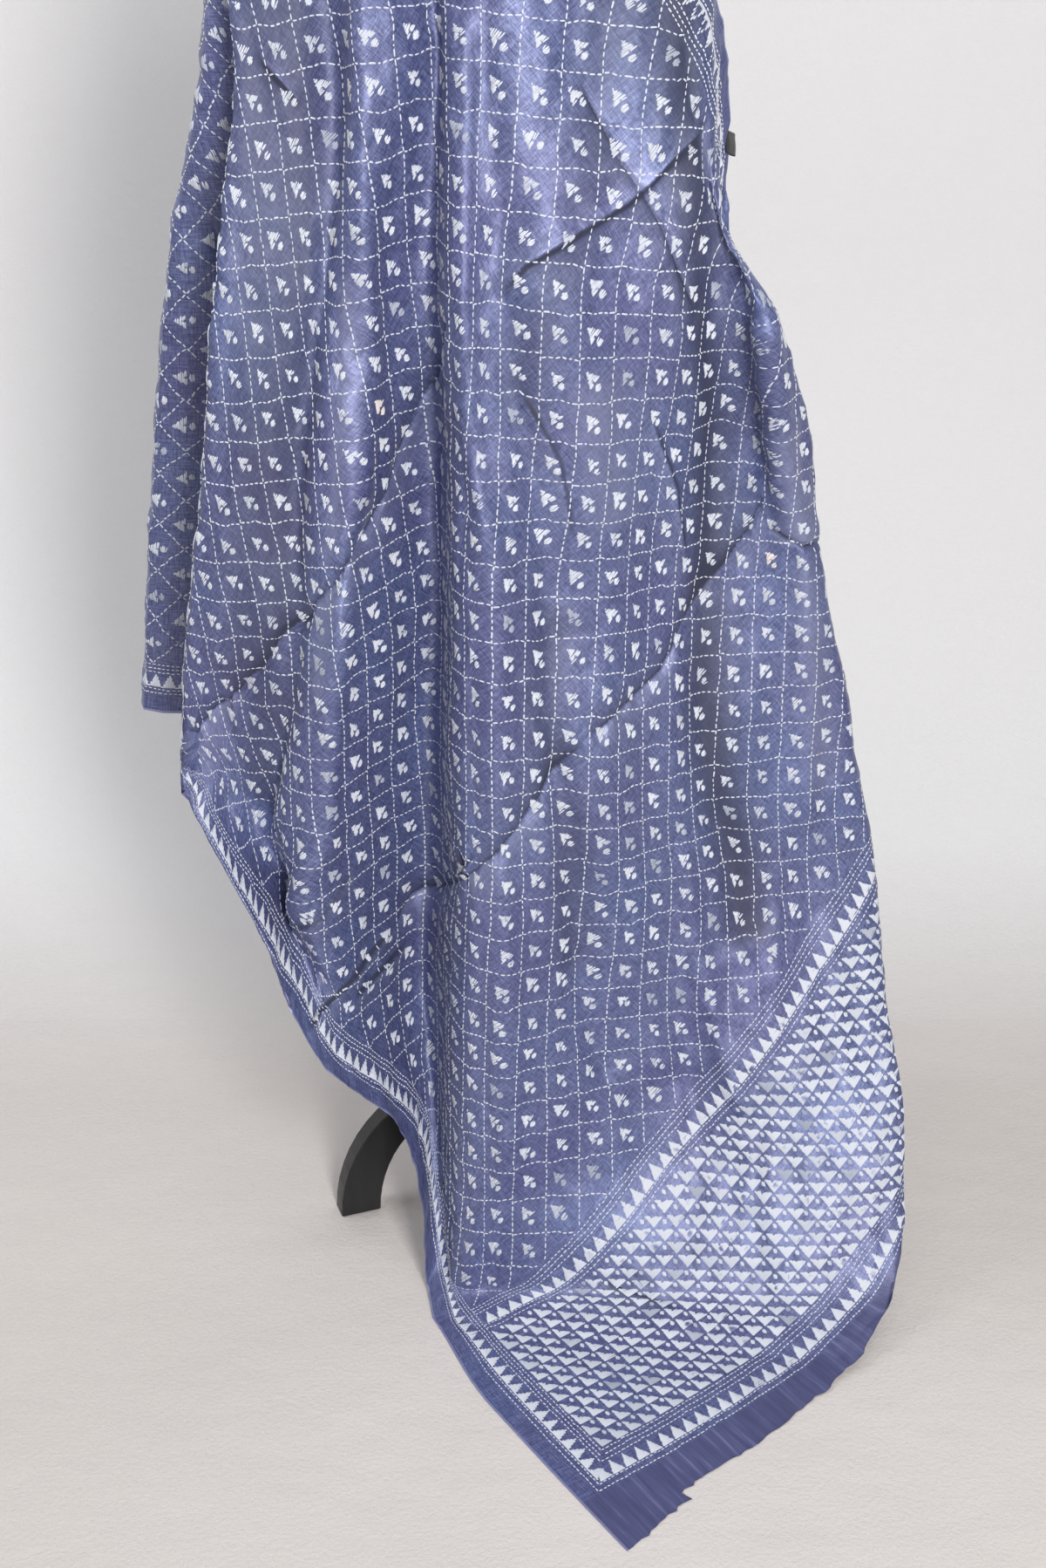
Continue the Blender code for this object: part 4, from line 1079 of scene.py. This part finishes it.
def thread_material():
    look = Look("kantha_thread", "UV")
    fibre = look.noise((900, 900, 1), 3.0, 0.6)
    shade = look.ramp(look.node("Attribute", attribute_name="tint")["Fac"],
                      (0.15, (0.34, 0.37, 0.46)), (0.45, (0.63, 0.664, 0.735)),
                      (0.70, (0.70, 0.725, 0.80)), (0.90, (0.83, 0.74, 0.69)))
    worn = look.ramp(fibre, (0.35, (0.86, 0.86, 0.88)), (0.55, (1.0, 1.0, 1.0)))
    return look.finished({"Base Color": look.mix(1.0, shade, worn, "MULTIPLY"), "Roughness": 0.62,
                          "Sheen Weight": 0.25, "Specular IOR Level": 0.35,
                          "Normal": look.bump(fibre, 0.4, 0.0003)})


def wood_material():
    look = Look("black_painted_wood", "Object")
    grain = look.noise((60, 60, 14), 4.0, 0.6)
    wear = look.noise((25, 25, 25), 5.0, 0.7)
    return look.finished({
        "Base Color": look.ramp(grain, (0.3, (0.008, 0.008, 0.009)), (0.7, (0.018, 0.018, 0.019))),
        "Roughness": look.ramp(wear, (0.3, (0.34,) * 3), (0.7, (0.52,) * 3)),
        "Normal": look.bump(grain, 0.25, 0.0006)})


def label_material():
    look = Look("label_weave", "Object")
    ribs = look.noise((2200, 2200, 5200), 2.0)
    return look.finished({
        "Base Color": look.ramp(ribs, (0.3, (0.006, 0.006, 0.007)), (0.7, (0.026, 0.026, 0.030))),
        "Roughness": 0.75, "Sheen Weight": 0.3, "Normal": look.bump(ribs, 0.5, 0.0003)})


# ---------------------------------------------------------------- pieces

def sheet_object(sheet, material):
    """The silk itself, one open surface. Front and back share the pleat's points."""
    def joined(front, back):
        return np.vstack([part.reshape(-1, part.shape[2]) for part in (front, back[:, 1:])])

    front_rows, front_cols = sheet.front.shape[:2]
    back_rows, back_cols = sheet.back.shape[:2]
    ids = np.arange(front_rows * front_cols).reshape(front_rows, front_cols)
    more = ids.size + np.arange(back_rows * (back_cols - 1)).reshape(back_rows, back_cols - 1)
    whole = np.concatenate([ids[sheet.split:], more], axis=1)
    faces = np.vstack([quads(ids[:sheet.split + 1]), quads(whole)])
    uv = joined(*(np.stack(place, axis=2) for place in sheet.flat()))
    mesh = new_mesh("silk_sheet", joined(sheet.front, sheet.back), faces, uv)
    refine(mesh, uv, faces)
    return finish_piece(mesh, material)


def near_crease(s, t):
    """Whether each flat place lies close enough to a sharp crease to need a finer mesh."""
    near = np.zeros(np.shape(s), bool)
    for line in CREASES:
        gap, inside = from_line(s, t, line[3:])
        near |= (np.abs(gap) < FINE_ZONE) & (inside > 0)
    return near


def rows_of(values, key, width, kind=np.float32):
    """The named values of a mesh's points or corners, as rows."""
    found = np.empty(len(values) * width, kind)
    values.foreach_get(key, found)
    return found.reshape(-1, width)


def refine(mesh, uv, faces):
    """Splits the faces along the creases, then raises the creases from the sheet and keeps the painted
    shade and painted highlight on its points.
    """
    middle = uv[faces].mean(axis=1)
    chosen = np.nonzero(near_crease(middle[:, 0], middle[:, 1]))[0]
    work = bmesh.new()
    work.from_mesh(mesh)
    work.faces.ensure_lookup_table()
    edges = list({edge for i in chosen for edge in work.faces[i].edges})
    bmesh.ops.subdivide_edges(work, edges=edges, cuts=FINE_CUTS, use_grid_fill=True)
    work.to_mesh(mesh)
    work.free()
    place = np.zeros((len(mesh.vertices), 2))
    corners = rows_of(mesh.loops, "vertex_index", 1, np.int32)[:, 0]
    place[corners] = rows_of(mesh.uv_layers[0].data, "uv", 2)
    points, normals = rows_of(mesh.vertices, "co", 3), rows_of(mesh.vertex_normals, "vector", 3)
    front = points[:, 1] < np.median(points[:, 1])
    facing = -np.sign(normals[front, 1].mean())
    points = points + facing * normals * crisp(*place.T)[:, None]
    points[:, 2] = np.maximum(points[:, 2], FLOOR_Z)
    mesh.vertices.foreach_set("co", points.astype(np.float32).ravel())
    # 'folded' holds the painted shade (above 0) and painted highlight (below 0) of the creases and broad
    # folds.
    set_tone(mesh, "folded", painted_shade_and_highlight(*place.T))
    mesh.update()
    mesh.shade_smooth()


def quads(ids):
    return np.stack([ids[:-1, :-1], ids[:-1, 1:], ids[1:, 1:], ids[1:, :-1]], axis=2).reshape(-1, 4)


def label_place():
    """Where the right selvedge carries the label: the edge point, the way down it, and outward."""
    heights, table = front_table()
    slope = slopes_of(heights, table)
    low, high = (smooth_at(p, heights, table, slope).reshape(-1, 4)[:2, 1:] for p in LABEL_HEIGHTS)
    edge = (low[0] + high[0]) / 2
    down = low[0] - high[0]
    out = edge - (low[1] + high[1]) / 2
    down /= np.linalg.norm(down)
    out -= down * out.dot(down)
    return edge, down, out / np.linalg.norm(out)


def label_object(material):
    """A bare woven tab, folded over the selvedge, its two layers parted by the cloth."""
    edge, down, out = label_place()
    face = np.cross(down, out)
    bend_at = LABEL_WIDE - 0.0010
    section = [(-0.0050, 0.0013), (0.000, 0.0012), (0.004, 0.0010), (bend_at - 0.0015, 0.0008)]
    for a in np.radians((60, 20, -20, -60)):
        section.append((bend_at + 0.0006 * math.cos(a), 0.0007 * math.sin(a)))
    section += [(u, -v) for u, v in section[3::-1]]
    points = []
    steps = np.linspace(-0.5, 0.5, 15)
    for step in steps:
        wave = 0.00025 * math.sin(7 * step + 1.0)
        flare = 0.0006 * step
        for u, v in section:
            lift = v * (1 + 0.5 * step * step) + wave
            points.append(edge + out * (u + flare) + face * lift + down * (step * LABEL_LONG))
    ids = np.arange(len(points)).reshape(len(steps), len(section))
    tab = finish_piece(new_mesh("label_tab", np.array(points), quads(ids)), material)
    thick = tab.modifiers.new("thickness", "SOLIDIFY")
    thick.thickness = 0.0005
    thick.offset = 0.0
    return tab


def wall_profile(turn=0.45, round_off=0.75):
    """Points (y, z) from the floor up a wide curve to a wall."""
    bend = [math.radians(90 * i / 12) for i in range(13)]
    points = [(turn + round_off * math.sin(a), round_off * (1 - math.cos(a))) for a in bend]
    return points + [(turn + round_off, 2.0), (turn + round_off, 3.4)]


def ground(name, profile, half, one_sided):
    """Part of the plain pale ground. A wall is clear from behind, where it would hide the object."""
    xs = np.linspace(-half, half, 41)
    points = np.array([(x, y, z) for y, z in profile for x in xs])
    mesh = new_mesh(name, points, quads(np.arange(len(points)).reshape(len(profile), len(xs))))
    if mesh.polygons[0].normal.z < 0:
        mesh.flip_normals()
    obj = linked(name, mesh)
    look = Look("pale_" + name, "Object")
    depth = look.node("SeparateXYZ", {"Vector": look.coords})["Y"]
    floor = look.ramp(look.noise((2.2, 2.2, 2.2), 2.0), (0.3, (0.655, 0.615, 0.590)),
                      (0.7, (0.690, 0.650, 0.625)))
    back = look.clamped(look.maths("MULTIPLY", look.maths("ADD", depth, -0.30), 2.2))
    ripples = look.bump(look.noise((2.6, 3.6, 2.6), 4.0, 0.55), 0.35, 0.030)
    fine = look.noise((210, 210, 210), 4.0, 0.7)
    mesh.materials.append(look.finished({
        "Base Color": look.mix(back, floor, (0.80, 0.795, 0.80, 1.0)), "Roughness": 0.9,
        "Specular IOR Level": 0.2, "Normal": look.bump(fine, 0.55, 0.0022, ripples)}))
    if one_sided:
        side = look.node("NewGeometry")["Backfacing"]
        clear = look.node("BsdfTransparent")["BSDF"]
        both = look.node("MixShader", {0: side, 1: look.shader.outputs["BSDF"], 2: clear})["Shader"]
        look.feed(look.tree.nodes["Material Output"], {"Surface": both})


def area_light(name, place, aim, power, size, colour):
    light = bpy.data.lights.new(name, "AREA")
    light.energy = power
    light.shape = "RECTANGLE"
    light.size, light.size_y = size
    light.color = colour
    obj = linked(name, light)
    obj.location = place
    way = np.array(aim, float) - np.array(place, float)
    flat = math.hypot(way[0], way[1])
    obj.rotation_euler = (math.atan2(flat, -way[2]), 0.0, math.atan2(-way[0], way[1]))


def build_scene():
    sheet = Sheet()
    silk, thread = silk_material(), thread_material()
    cloth = sheet_object(sheet, silk)
    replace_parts(cloth, "cloth")
    motifs, lattice, panel = motif_rows(), lattice_rows(), panel_rows()
    on_back = is_behind(motifs[:, 0], motifs[:, 1])
    satin = np.vstack([ends_behind(motifs, 4), ends_behind(panel, 8)])
    pieces = [
        stitch_mesh("lattice_stitches", lattice, sheet, thread),
        stitch_mesh("lattice_reverse", bars_behind(lattice), sheet, thread, -1),
        stitch_mesh("satin_reverse", satin, sheet, thread, -1),
        stitch_mesh("motifs_front", motifs[~on_back], sheet, thread),
        stitch_mesh("motifs_back", motifs[on_back], sheet, thread),
        stitch_mesh("panel_stitches", panel, sheet, thread),
        stitch_mesh("border_stitches", border_rows(), sheet, thread),
        stitch_mesh("frayed_threads", frayed_rows(), sheet, silk),
    ]
    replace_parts(label_object(label_material()), "label")
    wood = wood_material()
    for name in ("leg_1", "leg_2", "leg_3", "hub", "pole", "shoulder_cap"):
        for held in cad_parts[name].material_slots:
            held.material = wood


def build_camera():
    camera = linked("camera", bpy.data.cameras.new("camera"))
    camera.location = (-MIDDLE_X, -1.55 - MIDDLE_Y, 1.25)
    camera.rotation_euler = (math.radians(65), 0.0, 0.0)
    camera.data.sensor_width = 36.0
    camera.data.lens = 47.25
    bpy.context.scene.camera = camera


def build_light():
    bpy.context.scene.view_settings.view_transform = "Standard"
    world = bpy.data.worlds.new("soft_room")
    bpy.context.scene.world = world
    world.use_nodes = True
    back = world.node_tree.nodes["Background"]
    back.inputs["Color"].default_value = (0.95, 0.96, 1.0, 1.0)
    back.inputs["Strength"].default_value = 0.24
    area_light("key", (0.60, -2.5, 1.65), (0.0, 0.1, 0.60), 76, (0.5, 1.6), (1.0, 0.985, 0.965))
    area_light("left", (-1.5, 0.0, 1.8), (-0.4, 0.40, 0.5), 12, (1.0, 1.0), (0.97, 0.98, 1.0))
    area_light("wall", (1.0, 0.45, 2.5), (0.7, 1.2, 0.6), 4, (1.4, 0.6), (0.97, 0.98, 1.0))
    area_light("top", (0.2, -0.9, 3.0), (0.2, -0.5, 0.0), 9, (2.4, 1.0), (1.0, 0.99, 0.98))


build_scene()
ground("floor", [(y, 0.0) for y in (-9.0, -5.0, -2.6, -1.0, 0.0, 0.45, 2.5, 9.0)], 9.0, False)
ground("wall", wall_profile(), 3.2, True)
build_camera()
build_light()
bpy.context.view_layer.update()
